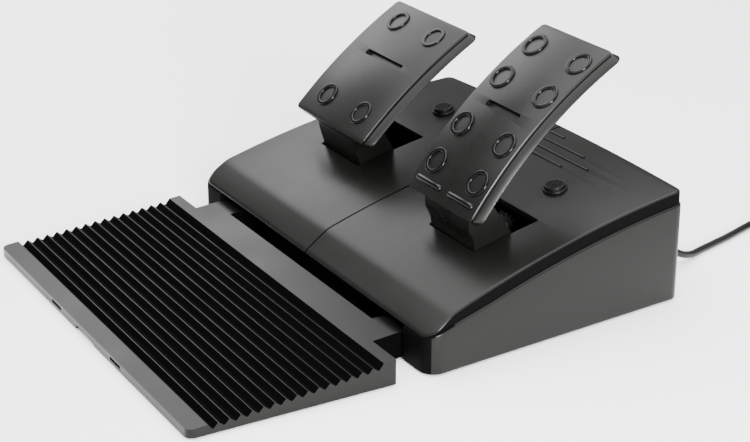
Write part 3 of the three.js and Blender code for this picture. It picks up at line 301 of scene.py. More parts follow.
def along_x(outline: Sequence[Point], x_low: float, x_high: float,
            bm: bmesh.types.BMesh | None = None) -> bmesh.types.BMesh:
    """Carries a side view along X.

    Args:
        outline: Its (y, z) points in order.
        x_low: Where it starts.
        x_high: Where it ends.
        bm: A shape to add it to, or None for a new one.

    Returns:
        The shape.
    """
    bm = bm or bmesh.new()
    verts = [bm.verts.new((x_low, y, z)) for y, z in outline]
    face = bm.faces.new(verts)
    carried = bmesh.ops.extrude_face_region(bm, geom=[face], use_keep_orig=True)
    moved = [v for v in carried["geom"] if isinstance(v, bmesh.types.BMVert)]
    bmesh.ops.translate(bm, vec=(x_high - x_low, 0, 0), verts=moved)
    return bm


def loft(rings: Sequence[Sequence[Vector]]) -> bmesh.types.BMesh:
    """Joins rings into a closed shape that is the same on both sides of x = 0.

    Args:
        rings: Each ring's right half, from front to back, with as many points as the others.

    Returns:
        The closed shape.
    """
    bm = bmesh.new()
    made = []
    for ring in rings:
        right = [bm.verts.new(point) for point in ring]
        left = [bm.verts.new((-point[0], point[1], point[2])) for point in ring]
        made.append((right, left))
    for (right_a, left_a), (right_b, left_b) in zip(made, made[1:]):
        loop_a, loop_b = right_a + left_a[::-1], right_b + left_b[::-1]
        for i in range(len(loop_a)):
            j = (i + 1) % len(loop_a)
            bm.faces.new((loop_a[i], loop_a[j], loop_b[j], loop_b[i]))
    for right, left in (made[0], made[-1]):
        for i in range(len(right) - 1):
            bm.faces.new((right[i], right[i + 1], left[i + 1], left[i]))
    bmesh.ops.recalc_face_normals(bm, faces=bm.faces)
    return bm


def quarter(steps: int) -> list[tuple[float, float]]:
    """Cosine and sine of the angles of a quarter turn."""
    return [(math.cos(math.pi / 2 * i / steps), math.sin(math.pi / 2 * i / steps))
            for i in range(steps + 1)]


def boolean(piece: bpy.types.Object, tool: bpy.types.Object, how: str) -> None:
    """Joins a tool to a piece or cuts it away, and removes the tool.

    Args:
        piece: The piece that is changed.
        tool: The tool.
        how: "DIFFERENCE", "UNION" or "INTERSECT".
    """
    change = piece.modifiers.new("tool", "BOOLEAN")
    change.operation = how
    change.object = tool
    change.solver = "EXACT"
    change.use_self = True
    settled = piece.evaluated_get(bpy.context.evaluated_depsgraph_get())
    mesh = bpy.data.meshes.new_from_object(settled)
    piece.modifiers.clear()
    old = piece.data
    name = old.name
    piece.data = mesh
    bpy.data.meshes.remove(old)
    mesh.name = name
    tool_mesh = tool.data
    bpy.data.objects.remove(tool)
    bpy.data.meshes.remove(tool_mesh)


def carve(piece: bpy.types.Object, tools: Iterable[bmesh.types.BMesh]) -> None:
    """Cuts shapes, drawn in the housing's frame, out of a piece."""
    for bm in tools:
        boolean(piece, piece_from(bm, "cutter"), "DIFFERENCE")


def weld(piece: bpy.types.Object, tools: Iterable[bmesh.types.BMesh]) -> None:
    """Joins shapes, drawn in the housing's frame, to a piece."""
    for bm in tools:
        boolean(piece, piece_from(bm, "tool"), "UNION")


def finish_mesh(piece: bpy.types.Object, edge_mm: float, smooth_deg: float = 32.0,
                segments: int = 3) -> None:
    """Smooths a piece's curved faces and rounds its hard edges.

    Args:
        piece: The piece.
        edge_mm: The radius of its edges, or 0 to leave them.
        smooth_deg: Edges flatter than this are part of a curve.
        segments: How many steps round an edge.
    """
    mesh = piece.data
    for polygon in mesh.polygons:
        polygon.use_smooth = True
    mesh.set_sharp_from_angle(angle=math.radians(smooth_deg))
    if edge_mm > 0:
        rounding = piece.modifiers.new("edges", "BEVEL")
        rounding.width = edge_mm * MM
        rounding.segments = segments
        rounding.limit_method = "ANGLE"
        rounding.angle_limit = math.radians(smooth_deg)
        rounding.harden_normals = True
        rounding.use_clamp_overlap = True


def dress(piece: bpy.types.Object, *finishes: Finish) -> None:
    """Gives a piece its finishes, one material slot each."""
    piece.data.materials.clear()
    for finish in finishes:
        piece.data.materials.append(finish.material())


def own(piece: bpy.types.Object, body: Body, slot: str, *nodes: str) -> None:
    """Says what a piece moves with, and hides the model's nodes that it stands for.

    Args:
        piece: The piece.
        body: The body that it rides on.
        slot: Not used.
        nodes: The model's nodes that it stands for.
    """
    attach(piece, body.value)
    if nodes:
        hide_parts(*nodes)
    log.info("%s: %d faces", piece.name, len(piece.data.polygons) if piece.type == "MESH" else 0)


def lerp(value: float, low: float, high: float, out_low: float, out_high: float) -> float:
    """Maps a value from one range to another along a straight line."""
    return out_low + (value - low) / (high - low) * (out_high - out_low)


# ---------------------------------------------------------------- housing


@dataclass
class Wedge:
    """The housing's outline and the two height laws that its shells share, in millimetres."""

    front_width: float = 240.0
    back_width: float = 214.0
    depth: float = 155.0
    back_bow: float = 4.0
    front_corner: float = 8.0
    back_corner: float = 5.0
    lip_height: float = 18.4
    crease_y: float = 13.7
    crease_height: float = 28.4
    crease_round: float = 2.4
    back_height: float = 58.0
    slope_rise: float = 4.5
    flank: float = 7.0
    split_bend_y: float = 40.0
    split_bow: float = 1.1
    lip: float = 1.1

    def slope(self) -> tuple[float, float, float]:
        """Returns the main slope's arc: its centre's y and z, and its radius."""
        start = Vector((self.crease_y, self.crease_height))
        end = Vector((self.depth, self.back_height))
        half = (end - start).length / 2
        radius = (half**2 + self.slope_rise**2) / (2 * self.slope_rise)
        normal = Vector((start.y - end.y, end.x - start.x)).normalized()
        centre = (start + end) / 2 + normal * (self.slope_rise - radius)
        return centre.x, centre.y, radius

    def top(self, y: float) -> float:
        """Height of the cover's top at a distance back, with its crease rounded."""
        def plain(at: float) -> float:
            """Height with the crease still sharp."""
            if at < self.crease_y:
                return lerp(at, 0, self.crease_y, self.lip_height, self.crease_height)
            centre_y, centre_z, radius = self.slope()
            return centre_z + math.sqrt(radius**2 - (at - centre_y) ** 2)

        low, high = self.crease_y - self.crease_round, self.crease_y + self.crease_round
        if low < y < high:
            share = (y - low) / (high - low)
            return ((1 - share) ** 2 * plain(low) + 2 * share * (1 - share) * self.crease_height
                    + share**2 * plain(high))
        return plain(y)

    def tilt(self, y: float) -> float:
        """Tilt of the main slope, in radians."""
        centre_y, _, radius = self.slope()
        return math.asin((centre_y - y) / radius)

    def split(self, y: float) -> float:
        """Height of the line between the cover and the lower shell."""
        if y < self.split_bend_y:
            bend = self.top(self.split_bend_y) - self.flank
            share = y / self.split_bend_y
            straight = lerp(y, 0, self.split_bend_y, self.lip_height, bend)
            return straight + self.split_bow * math.sin(math.pi * min(max(share, 0), 1)) * (1 - share)
        return self.top(y) - self.flank

    def half_width(self, y: float) -> float:
        """Half the housing's width at a distance back from the lip."""
        return lerp(y, 0, self.depth, self.front_width / 2, self.back_width / 2)

    def seam(self, y: float) -> float:
        """Height of the lower shell's top edge, which leaves the cover a lip at the front."""
        return min(self.split(y), self.top(y) - self.lip)

    def stations(self) -> list[float]:
        """Distances back at which the curved faces are divided."""
        bend = [self.crease_y + self.crease_round * share for share in (-1, -0.5, 0, 0.5, 1)]
        steps, first, last = 26, 19.0, self.depth - self.back_corner - 1
        return [*bend, *(lerp(i, 0, steps, first, last) for i in range(steps + 1))]

    def outline(self, inset: float) -> list[Point]:
        """The right half of the plan, from front to back.

        Args:
            inset: How far in from the housing's outside.

        Returns:
            (x, y) points.
        """
        near, far = inset, self.depth - inset
        front_r, back_r = max(self.front_corner - inset, 1.0), max(self.back_corner - inset, 1.0)
        front_x = self.half_width(near + front_r) - inset - front_r
        back_x = self.half_width(far - back_r) - inset - back_r
        points = [(front_x + front_r * sin, near + front_r * (1 - cos)) for cos, sin in quarter(7)]
        points += [(self.half_width(y) - inset, y) for y in self.stations() if y > near + front_r + 0.4]
        corner = [(back_x + back_r * cos, far - back_r * (1 - sin), sin) for cos, sin in quarter(6)]
        points += [(x, y + sin * self.bow(x)) for x, y, sin in corner]
        steps = 12
        across = [back_x * (1 - i / steps) for i in range(1, steps)]
        return [*points, *((x, far + self.bow(x)) for x in across)]

    def bow(self, x: float) -> float:
        """How far the back bulges at a distance from the middle."""
        return self.back_bow * (1 - (2 * x / self.back_width) ** 2)

    def ring(self, inset: float, law: Callable[[float], float]) -> list[Vector]:
        """The plan's outline, moved in all round, at a height law."""
        return [Vector((x, y, law(y))) for x, y in self.outline(inset)]

    def prism(self, inset: float, low: Callable[[float], float],
              high: Callable[[float], float]) -> bmesh.types.BMesh:
        """The plan, moved in all round, between two height laws."""
        return loft([self.ring(inset, low), self.ring(inset, high)])


PEDAL_X = 62.5
ARM_WIDTH = 39.5
SHELL_WALL = 2.5
SHAFT_HOLE = 3.3
GEAR_REACH = (30.68, 11.17)  # from a pedal's pivot back and up to its pinion
GEAR_WIDTH = 5.0
ARM_RUN = 1.0  # between an arm and the gear beside it
TOWER_OFFSETS = (29.5, -31.5)  # the two bearing towers' places beside a pedal's middle
SPRING_REACH = 17.0  # from a pedal's pivot back to its spring


@dataclass
class PedalSizes:
    """One pedal's sizes and places, in millimetres.

    Places on its face, such as those of its rings, slot and bars, are shares of the way up it.
    """

    name: str
    body: Body
    side: int
    pivot: Point
    half_width: float
    bottom: Point
    top: Point
    bulge: float
    rings: tuple[float, ...]
    slot_at: float
    slot_length: float
    bars_at: float
    neck_front: tuple[Point, ...]
    neck_back: tuple[Point, ...]
    button_y: float
    slot_front: float
    slot_back: float

    @property
    def x(self) -> float:
        """Its middle, across the housing."""
        return PEDAL_X * self.side

    @property
    def gear(self) -> Point:
        """The middle of the sensor's pinion, as (y, z)."""
        return (self.pivot[0] + GEAR_REACH[0], self.pivot[1] + GEAR_REACH[1])


BRAKE = PedalSizes(
    name="brake", body=Body.BRAKE, side=-1, pivot=(70.0, 17.0), half_width=36.0,
    bottom=(48.6, 59.5), top=(114.0, 110.5), bulge=3.0, rings=(0.17, 0.85), slot_at=0.56,
    slot_length=37.0, bars_at=0.0,
    neck_front=((54.6, 50.0), (56.3, 44.6), (58.2, 38.0)),
    neck_back=((80.6, 39.0), (77.9, 46.8)),
    button_y=122.0, slot_front=55.5, slot_back=96.3)
THROTTLE = PedalSizes(
    name="throttle", body=Body.THROTTLE, side=1, pivot=(62.0, 17.0), half_width=28.2,
    bottom=(40.0, 58.5), top=(118.5, 129.7), bulge=6.2, rings=(0.165, 0.37, 0.655, 0.87),
    slot_at=0.515, slot_length=28.0, bars_at=0.062,
    neck_front=((45.3, 50.1), (47.4, 45.8), (48.6, 42.0), (49.0, 36.0)),
    neck_back=((72.5, 39.0), (68.8, 45.7), (59.3, 59.3)),
    button_y=109.0, slot_front=47.7, slot_back=84.9)
PEDALS = (BRAKE, THROTTLE)
SCREW_PLACES = [
    (-104.0, 30.0), (104.0, 30.0), (-94.9, 140.0), (94.9, 140.0), (0.0, 34.0), (0.0, 150.0)]
FOOT_PLACES = [(-108.0, 9.0), (108.0, 9.0), (-90.0, 122.0), (90.0, 122.0)]
BOARD_SCREWS = [(-24.0, 130.0), (24.0, 130.0)]
LEAD_HOLE = (74.0, 8.4)


@dataclass
class Housing:
    """The wedge-shaped housing: its cover and its lower shell, in millimetres.

    Each raised line on the cover has a distance back, and the x where it starts and ends.
    """

    wedge: Wedge = field(default_factory=Wedge)
    cover_inset: float = 0.8
    wall: float = SHELL_WALL
    gap: float = 0.3
    edge_round: float = 1.5
    run: float = 1.0
    groove_width: float = 1.2
    groove_depth: float = 1.0
    rib_width: float = 1.7
    rib_height: float = 0.75
    ribs: tuple[tuple[float, float, float], ...] = (
        (148.5, 2.3, 14.7), (141.0, 7.5, 42.5), (133.2, 13.2, 56.3), (126.0, 18.7, 43.4))
    base_round: float = 0.9
    ledge_round: float = 1.0
    recess_half: float = 97.1
    recess_depth: float = 14.0
    toe: float = 5.0
    toe_thick: float = 1.5
    pin_y: float = 6.0
    pin_z: float = 7.5
    pin_radius: float = 2.5
    pin_length: float = 8.0
    sensor_wall: float = 26.0

    def cover(self) -> bpy.types.Object:
        """Builds the top cover with its slots, middle groove and raised lines."""
        wedge, edge, inset = self.wedge, self.edge_round, self.cover_inset

        def rounded(sin: float) -> Callable[[float], float]:
            """Height law of a place round the top edge."""
            return lambda y: wedge.top(y) - min(edge, wedge.top(y) - wedge.seam(y) - 0.35) * (1 - sin)

        sides = [wedge.ring(inset, lambda y: wedge.seam(y) + self.gap)]
        rim = [wedge.ring(inset + edge * (1 - cos), rounded(sin)) for cos, sin in quarter(5)]
        cover = piece_from(loft(sides + rim), "cover")
        carve(cover, [
            wedge.prism(inset + self.wall, lambda y: -5, lambda y: wedge.top(y) - self.wall),
            *(self.slot(pedal) for pedal in PEDALS), self.groove()])
        weld(cover, [self.rib(*rib) for rib in self.ribs])
        finish_mesh(cover, 0.3)
        # The second finish is painted shade, for the side strip.
        dress(cover, SATIN_ABS, SHADE_PAINTED_ABS)
        self.paint_flank_shade(cover)
        own(cover, Body.HOUSING, "satin_black_plastic", "top_cover")
        return cover

    def paint_flank_shade(self, cover: bpy.types.Object) -> None:
        """Paints shade on the faces of the cover's side strip: they get the darker shade-painted copy of
        its ABS.
        """
        lip, edge_strip, back_strip = 1.5, 6.0, 5.0
        for polygon in cover.data.polygons:
            middle = polygon.center / MM - HOUSING_SHIFT
            below = self.wedge.top(middle.y) - middle.z
            outside = (self.wedge.half_width(middle.y) - abs(middle.x) < edge_strip
                       or middle.y > self.wedge.depth - back_strip)
            upright = abs(polygon.normal.z) < 0.5
            if upright and below > self.edge_round * 0.8 and outside and middle.y > lip:
                polygon.material_index = 1

    def slot(self, pedal: PedalSizes) -> bmesh.types.BMesh:
        """The opening in the cover that a pedal's arm runs in."""
        half = ARM_WIDTH / 2 + self.run
        bm = bmesh.new()
        box(bm, (pedal.x - half, pedal.slot_front, 20), (pedal.x + half, pedal.slot_back, 90), 1.2)
        return bm

    def strip(self, x_low: float, x_high: float, y_low: float, y_high: float,
              under: float, over: float, steps: int = 24) -> bmesh.types.BMesh:
        """A bar that follows the cover's top, from so far under it to so far over it."""
        ys = [lerp(i, 0, steps, y_low, y_high) for i in range(steps + 1)]
        if y_low < self.wedge.crease_y:
            ys = sorted({*ys, *self.wedge.stations()[:5]})
        high = [(y, self.wedge.top(y) + over) for y in ys]
        low = [(y, self.wedge.top(y) - under) for y in reversed(ys)]
        return along_x(high + low, x_low, x_high)

    def groove(self) -> bmesh.types.BMesh:
        """The line that is let into the cover down its middle."""
        half = self.groove_width / 2
        return self.strip(-half, half, -2.0, self.wedge.depth + 6, self.groove_depth, 4.0)

    def rib(self, y: float, x_low: float, x_high: float) -> bmesh.types.BMesh:
        """One of the raised lines on the cover."""
        half = self.rib_width / 2
        crest = [(y + half * cos, self.wedge.top(y + half * cos) + self.rib_height * sin)
                 for cos, sin in quarter(4)]
        front = [(2 * y - at, self.wedge.top(2 * y - at) + height - self.wedge.top(at))
                 for at, height in reversed(crest[:-1])]
        root = self.wedge.top(y) - 1.0
        return along_x([(y + half, root), *crest, *front, (y - half, root)], x_low, x_high)

    def shell(self) -> bpy.types.Object:
        """Builds the lower shell with its front recess, bearing towers and screw posts."""
        wedge = self.wedge
        base = [wedge.ring(self.base_round * (1 - cos), lambda y, sin=sin: self.base_round * (1 - sin))
                for cos, sin in reversed(quarter(3))]
        ledge = [wedge.ring(self.ledge_round * (1 - cos),
                            lambda y, sin=sin: wedge.seam(y) - self.ledge_round * (1 - sin))
                 for cos, sin in quarter(3)]
        shell = piece_from(loft(base + ledge), "shell")
        recess = bmesh.new()
        box(recess, (-self.recess_half, -5, -5), (self.recess_half, self.recess_depth, 60))
        carve(shell, [wedge.prism(self.wall, lambda y: self.wall, lambda y: 90), recess])
        weld(shell, [self.recess_wall(), *self.inner_shapes()])
        carve(shell, self.bores())
        finish_mesh(shell, 0.7)
        # The second finish is painted shade, for the recess and the front.
        dress(shell, SATIN_ABS, SHADE_PAINTED_ABS)
        self.paint_front_shade(shell)
        own(shell, Body.HOUSING, "satin_black_plastic", "lower_shell")
        return shell

    def paint_front_shade(self, shell: bpy.types.Object) -> None:
        """Paints shade on the recess and the faces beside it: they get the darker shade-painted copy of
        the shell's ABS.
        """
        for polygon in shell.data.polygons:
            middle = polygon.center / MM - HOUSING_SHIFT
            in_recess = abs(middle.x) < self.recess_half + self.wall + 1
            side_wall = abs(polygon.normal.x) >= 0.8
            if middle.y < self.recess_depth + 1 and (in_recess or not side_wall):
                polygon.material_index = 1

    def recess_wall(self) -> bmesh.types.BMesh:
        """The walls round the front recess, and the toe at the foot of its back wall."""
        wall, depth = self.recess_half + self.wall, self.recess_depth
        under = self.wall + 2 * self.gap
        tops = [(y, self.wedge.top(y) - under) for y in (1.0, 8.0, depth, depth + self.wall)]
        back = [(depth, 0.0), *tops[2:], (depth + self.wall, 0.0)]
        bm = along_x(back, -wall, wall)
        # The toe is a guess: a dark strip put in where the recess's floor lies in shade, and painted
        # shade as well.
        box(bm, (-wall, depth - self.toe, 0.0), (wall, depth + 1, self.toe_thick))
        cheek = [(1.2, 0.5), *tops[:2], (depth + 1, tops[2][1]), (depth + 1, 0.5)]
        for side in (-1, 1):
            low, high = sorted((side * self.recess_half, side * wall))
            along_x(cheek, low, high, bm)
        return bm

    def inner_shapes(self) -> list[bmesh.types.BMesh]:
        """The posts, towers and hinge pins that stand inside the shell."""
        root = 1.2  # inside the floor, so that each shape joins it
        posts = bmesh.new()

        def stand(x: float, y: float, radius: float, top: float) -> None:
            """Adds one upright post."""
            rod(posts, radius, (x, y, root), (x, y, top), 24)

        for x, y in SCREW_PLACES:
            stand(x, y, 4.5, 14.0)
        for x, y in BOARD_SCREWS:
            stand(x, y, 3.5, 6.5)
        for side in (-1, 1):
            inner, outer = side * (self.recess_half - self.pin_length), side * (self.recess_half + root)
            rod(posts, self.pin_radius, (inner, self.pin_y, self.pin_z), (outer, self.pin_y, self.pin_z))
        towers = bmesh.new()
        for pedal in PEDALS:
            pivot_y, pivot_z = pedal.pivot
            for x in self.tower_places(pedal):
                box(towers, (x - 2.5, pivot_y - 10, root), (x + 2.5, pivot_y + 10, pivot_z))
            wall_x, gear_y, gear_z = pedal.side * self.sensor_wall, *pedal.gear
            box(towers, (wall_x - 1.25, gear_y - 8, root), (wall_x + 1.25, gear_y + 8, gear_z + 8.03))
            stand(pedal.x, pivot_y + SPRING_REACH, 3.2, 4.1)
        return [posts, towers]

    def tower_places(self, pedal: PedalSizes) -> list[float]:
        """Where across the housing a pedal's two bearing towers stand."""
        return [pedal.x + offset * pedal.side for offset in TOWER_OFFSETS]

    def bores(self) -> list[bmesh.types.BMesh]:
        """The holes in the shell: for screws, feet, shafts, sensors and the lead."""
        below = -2.0
        holes = bmesh.new()

        def drill(x: float, y: float, radius: float, low: float, high: float, sides: int) -> None:
            """Adds one upright hole."""
            rod(holes, radius, (x, y, low), (x, y, high), sides)

        for x, y in SCREW_PLACES:
            drill(x, y, 1.8, 3.0, 16.0, 24)
            drill(x, y, 3.1, below, 4.0, 32)
        for x, y in FOOT_PLACES:
            drill(x, y, 6.3, below, 1.3, 48)
        for x, y in BOARD_SCREWS:
            drill(x, y, 1.4, 2.6, 12.0, 20)
        lead_x, lead_z = LEAD_HOLE
        rod(holes, 4.3, (lead_x, 145.0, lead_z), (lead_x, 170.0, lead_z), 40)
        across = bmesh.new()
        for pedal in PEDALS:
            y, z = pedal.pivot
            near, far = sorted((pedal.side * 24.0, pedal.side * 98.0))
            rod(across, SHAFT_HOLE, (near, y, z), (far, y, z), 32)
            wall_x = pedal.side * self.sensor_wall
            rod(across, 3.8, (wall_x - 3.0, *pedal.gear), (wall_x + 3.0, *pedal.gear), 32)
            for x in self.tower_places(pedal):
                rod(across, 1.4, (x, y + 6.5, 5.0), (x, y + 6.5, 20.0), 16)
        return [holes, across]


# ---------------------------------------------------------------- pedals


@dataclass
class Pedal:
    """One pedal: its plate with rings, slot and bars, and the arm that carries it."""

    sizes: PedalSizes
    thick: float = 5.2
    flare: float = 2.8
    skin: float = 3.2
    rim: float = 2.6
    ring_radius: float = 7.0
    ring_width: float = 2.1
    ring_proud: float = 0.9
    ring_spacing: float = 36.5
    corner: float = 2.2
    bar_spread: float = 14.0
    neck_length: float = 18.0
    hub: float = 9.0

    def on_face(self, share: float, off: float) -> tuple[Vector, float]:
        """A place along the face, from 0 at its lower end to 1, and so far off it.

        Args:
            share: How far up the face.
            off: How far off it, outwards.

        Returns:
            The (y, z) point, and the angle of the face's normal.
        """
        bottom, top = Vector(self.sizes.bottom), Vector(self.sizes.top)
        chord = top - bottom
        half = chord.length / 2
        radius = (half**2 + self.sizes.bulge**2) / (2 * self.sizes.bulge)
        normal = Vector((-chord.y, chord.x)).normalized()
        centre = bottom + chord / 2 + normal * (self.sizes.bulge - radius)
        angle = math.atan2(normal.y, normal.x) + math.asin(half / radius) * (1 - 2 * share)
        return centre + Vector((math.cos(angle), math.sin(angle))) * (radius + off), angle

    def settle(self, bm: bmesh.types.BMesh, share: float, x: float) -> bmesh.types.BMesh:
        """Moves a shape made about Z onto the face."""
        point, angle = self.on_face(share, 0.0)
        turn = Matrix.Rotation(angle - math.pi / 2, 4, "X")
        bmesh.ops.transform(bm, matrix=Matrix.Translation((x, point.x, point.y)) @ turn, verts=bm.verts)
        return bm

    def length(self) -> float:
        """The straight length of the face."""
        return (Vector(self.sizes.top) - Vector(self.sizes.bottom)).length

    def ring_at(self, extra: float, off: float, steps: int = 26) -> list[Vector]:
        """The right half of the plate's outline at a distance off its face, about x = 0.

        Args:
            extra: How far it stands out past the face, at the sides and the upper end. If it is
                less than 0, the lower end moves in as well.
            off: How far it is off the face, outwards.
            steps: How many divisions the side has.

        Returns:
            Points from the lower end to the upper one.
        """
        half, length = self.sizes.half_width + extra, self.length()
        corner = self.corner + max(extra, 0)
        low, high = max(-extra, 0.0), length + extra
        flat = [(half - corner + corner * sin, low + corner * (1 - cos)) for cos, sin in quarter(6)]
        flat += [(half, lerp(i, 0, steps, low + corner, high - corner)) for i in range(1, steps)]
        flat += [(half - corner + corner * cos, high - corner * (1 - sin)) for cos, sin in quarter(6)]
        places = [(x, self.on_face(v / length, off)[0]) for x, v in flat]
        return [Vector((x, place.x, place.y)) for x, place in places]

    def plate(self) -> bpy.types.Object:
        """Builds the pedal plate: its face, the fine line under it and the flared wall."""
        sizes = self.sizes
        blank = loft([self.ring_at(extra, off) for extra, off in (
            (-0.55, 0.0), (-0.2, -0.1), (0.0, -0.4), (0.0, -1.1), (-0.7, -1.2), (-0.7, -1.7),
            (0.1, -1.8), (0.4, -2.0), (self.flare, -self.thick), (self.flare - 0.2, -self.thick - 0.3))])
        hollow = loft([self.ring_at(extra - self.rim, off) for extra, off in (
            (-0.6, -self.skin), (self.flare, -self.thick - 0.3), (self.flare, -self.thick - 2))])
        for bm in (blank, hollow):
            bmesh.ops.translate(bm, vec=(sizes.x, 0, 0), verts=bm.verts)
        plate = piece_from(blank, f"{sizes.name}_plate")
        slot = bmesh.new()
        box(slot, (-sizes.slot_length / 2, -1.7, -2.2), (sizes.slot_length / 2, 1.7, 3.0), 1.5)
        carve(plate, [hollow, self.settle(slot, sizes.slot_at, sizes.x)])
        finish_mesh(plate, 0.25)
        dress(plate, PEDAL_ABS)
        own(plate, sizes.body, "satin_black_plastic", f"{sizes.name}_pedal_plate")
        trim = bmesh.new()
        for part in self.trim():
            mesh = bpy.data.meshes.new("part")
            part.to_mesh(mesh)
            part.free()
            trim.from_mesh(mesh)
            bpy.data.meshes.remove(mesh)
        raised = piece_from(trim, f"{sizes.name}_plate_trim")
        finish_mesh(raised, 0)
        dress(raised, GLOSS_ABS)
        own(raised, sizes.body, "satin_black_plastic")
        return plate

    def trim(self) -> list[bmesh.types.BMesh]:
        """The plate's raised rings and bars, already on its face."""
        sizes = self.sizes
        parts = []
        for share in sizes.rings:
            for side in (-1, 1):
                ring = turned(self.ring_profile(), 48)
                parts.append(self.settle(ring, share, sizes.x + side * self.ring_spacing / 2))
        if sizes.bars_at > 0:
            for side in (-1, 1):
                parts.append(self.settle(self.bar(), sizes.bars_at, sizes.x + side * self.bar_spread))
        return parts

    def ring_profile(self) -> list[Point]:
        """Section of a raised ring: a flat crest with a rounded shoulder on each side."""
        outer, shoulder, proud = self.ring_radius, 0.55, self.ring_proud
        inner = outer - self.ring_width
        right = [(outer - shoulder * (1 - cos), proud - shoulder * (1 - sin)) for cos, sin in quarter(4)]
        left = [(inner + shoulder * (1 - cos), proud - shoulder * (1 - sin))
                for cos, sin in reversed(quarter(4))]
        return [(outer, -0.4), *right, *left, (inner, -0.4), (outer, -0.4)]

    def bar(self) -> bmesh.types.BMesh:
        """One raised round-ended bar, along X on the plane z = 0."""
        radius, half_straight, root = 1.7, 9.05, -0.5
        bm = bmesh.new()
        bmesh.ops.create_uvsphere(bm, u_segments=20, v_segments=12, radius=radius)
        for vert in bm.verts:
            vert.co.x += math.copysign(half_straight, vert.co.x) if abs(vert.co.x) > 1e-5 else 0
            vert.co.z = max(vert.co.z * 0.9, root)
        return bm

    def arm(self) -> bpy.types.Object:
        """Builds the arm: a boxy neck that flares under the plate, on a round hub."""
        sizes, hub, wall = self.sizes, self.hub, 4.0
        half = ARM_WIDTH / 2
        pivot = Vector(sizes.pivot)
        under = -self.thick - 0.3
        top_front = self.on_face(0.01, under)[0]
        top_back = self.on_face(self.neck_length / self.length(), under)[0]
        hub_arc = [self.polar(pivot, hub, math.pi + math.pi * i / 16) for i in range(17)]
        outline = [*self.smooth([tuple(top_front), *sizes.neck_front]), *hub_arc,
                   *sizes.neck_back, tuple(top_back)]
        arm = piece_from(along_x(outline, sizes.x - half, sizes.x + half), f"{sizes.name}_neck")
        floor = pivot.y + hub + 2
        pocket = along_x([
            (pivot.x - hub + 7, floor), (pivot.x + hub + 30, floor),
            (top_back.x + 30, top_back.y - 7), (top_back.x - 7, top_back.y - 9)],
            sizes.x - half + wall, sizes.x + half - wall)
        gear = sizes.side * (PEDAL_X - half - ARM_RUN - GEAR_WIDTH / 2)
        carve(arm, [pocket])
        weld(arm, [self.sector(gear), self.hubs(gear), self.foot()])
        bore = bmesh.new()
        rod(bore, SHAFT_HOLE, (sizes.x - 60, *pivot), (sizes.x + 60, *pivot))
        carve(arm, [bore, self.screw_wells()])
        finish_mesh(arm, 0.5)
        dress(arm, SATIN_ABS)
        own(arm, sizes.body, "satin_black_plastic", f"{sizes.name}_arm")
        return arm

    def hubs(self, gear: float) -> bmesh.types.BMesh:
        """The round boss in the gear sector, and the neck of it that reaches the arm."""
        sizes, half = self.sizes, GEAR_WIDTH / 2
        near, far = sorted((gear, sizes.x - sizes.side * ARM_WIDTH / 2))
        bm = bmesh.new()
        rod(bm, self.hub, (gear - half, *sizes.pivot), (gear + half, *sizes.pivot))
        rod(bm, self.hub - 1, (near - 0.5, *sizes.pivot), (far + 0.5, *sizes.pivot))
        return bm

    def foot(self) -> bmesh.types.BMesh:
        """The foot behind the hub that presses the return spring, with its stub."""
        x, y, z = self.sizes.x, *self.sizes.pivot
        spring = y + SPRING_REACH
        bm = bmesh.new()
        box(bm, (x - 7.5, y, z + 3), (x + 7.5, spring + 6, z + 7))
        rod(bm, 3.2, (x, spring, z + 1.4), (x, spring, z + 4), 24)
        return bm

    def smooth(self, points: Sequence[Point], steps: int = 5) -> list[Point]:
        """A smooth line through points, divided evenly between them."""
        padded = [points[0], *points, points[-1]]
        line = []
        for a, b, c, d in zip(padded, padded[1:], padded[2:], padded[3:]):
            for i in range(steps):
                t = i / steps
                line.append(tuple(
                    0.5 * (2 * q + (r - p) * t + (2 * p - 5 * q + 4 * r - s) * t**2
                           + (3 * q - p - 3 * r + s) * t**3)
                    for p, q, r, s in zip(a, b, c, d)))
        return [*line, points[-1]]

    def sector(self, gear_x: float) -> bmesh.types.BMesh:
        """The toothed sector that drives the sensor's pinion."""
        pivot = Vector(self.sizes.pivot)
        step = 2 * math.pi / 52
        flank = ((24.85, 0.037), (26.0, 0.0245), (26.85, 0.0145))  # radius, and half the tooth's angle
        outline = [tuple(pivot)]
        for tooth in range(-1, 7):
            middle = math.radians(20) + tooth * step
            outline += [self.polar(pivot, radius, middle - half) for radius, half in flank]
            outline += [self.polar(pivot, radius, middle + half) for radius, half in reversed(flank)]
        return along_x(outline, gear_x - GEAR_WIDTH / 2, gear_x + GEAR_WIDTH / 2)

    def polar(self, centre: Vector, radius: float, angle: float) -> Point:
        """A point at a radius and an angle about a centre."""
        return (centre.x + radius * math.cos(angle), centre.y + radius * math.sin(angle))

    def screw_wells(self) -> bmesh.types.BMesh:
        """The wells in the arm for the plate's bosses, its screws' shanks and their heads."""
        neck = self.neck_length / self.length()
        wells = bmesh.new()
        for share in (neck * 0.36, neck * 0.82):
            for radius, start, end in ((3.7, -1.0, 1.3), (1.4, 0.0, 30.0), (2.4, 4.5, 34.0)):
                ends = [self.on_face(share, -self.thick - depth)[0] for depth in (start, end)]
                rod(wells, radius, *((self.sizes.x, point.x, point.y) for point in ends), 24)
        return wells


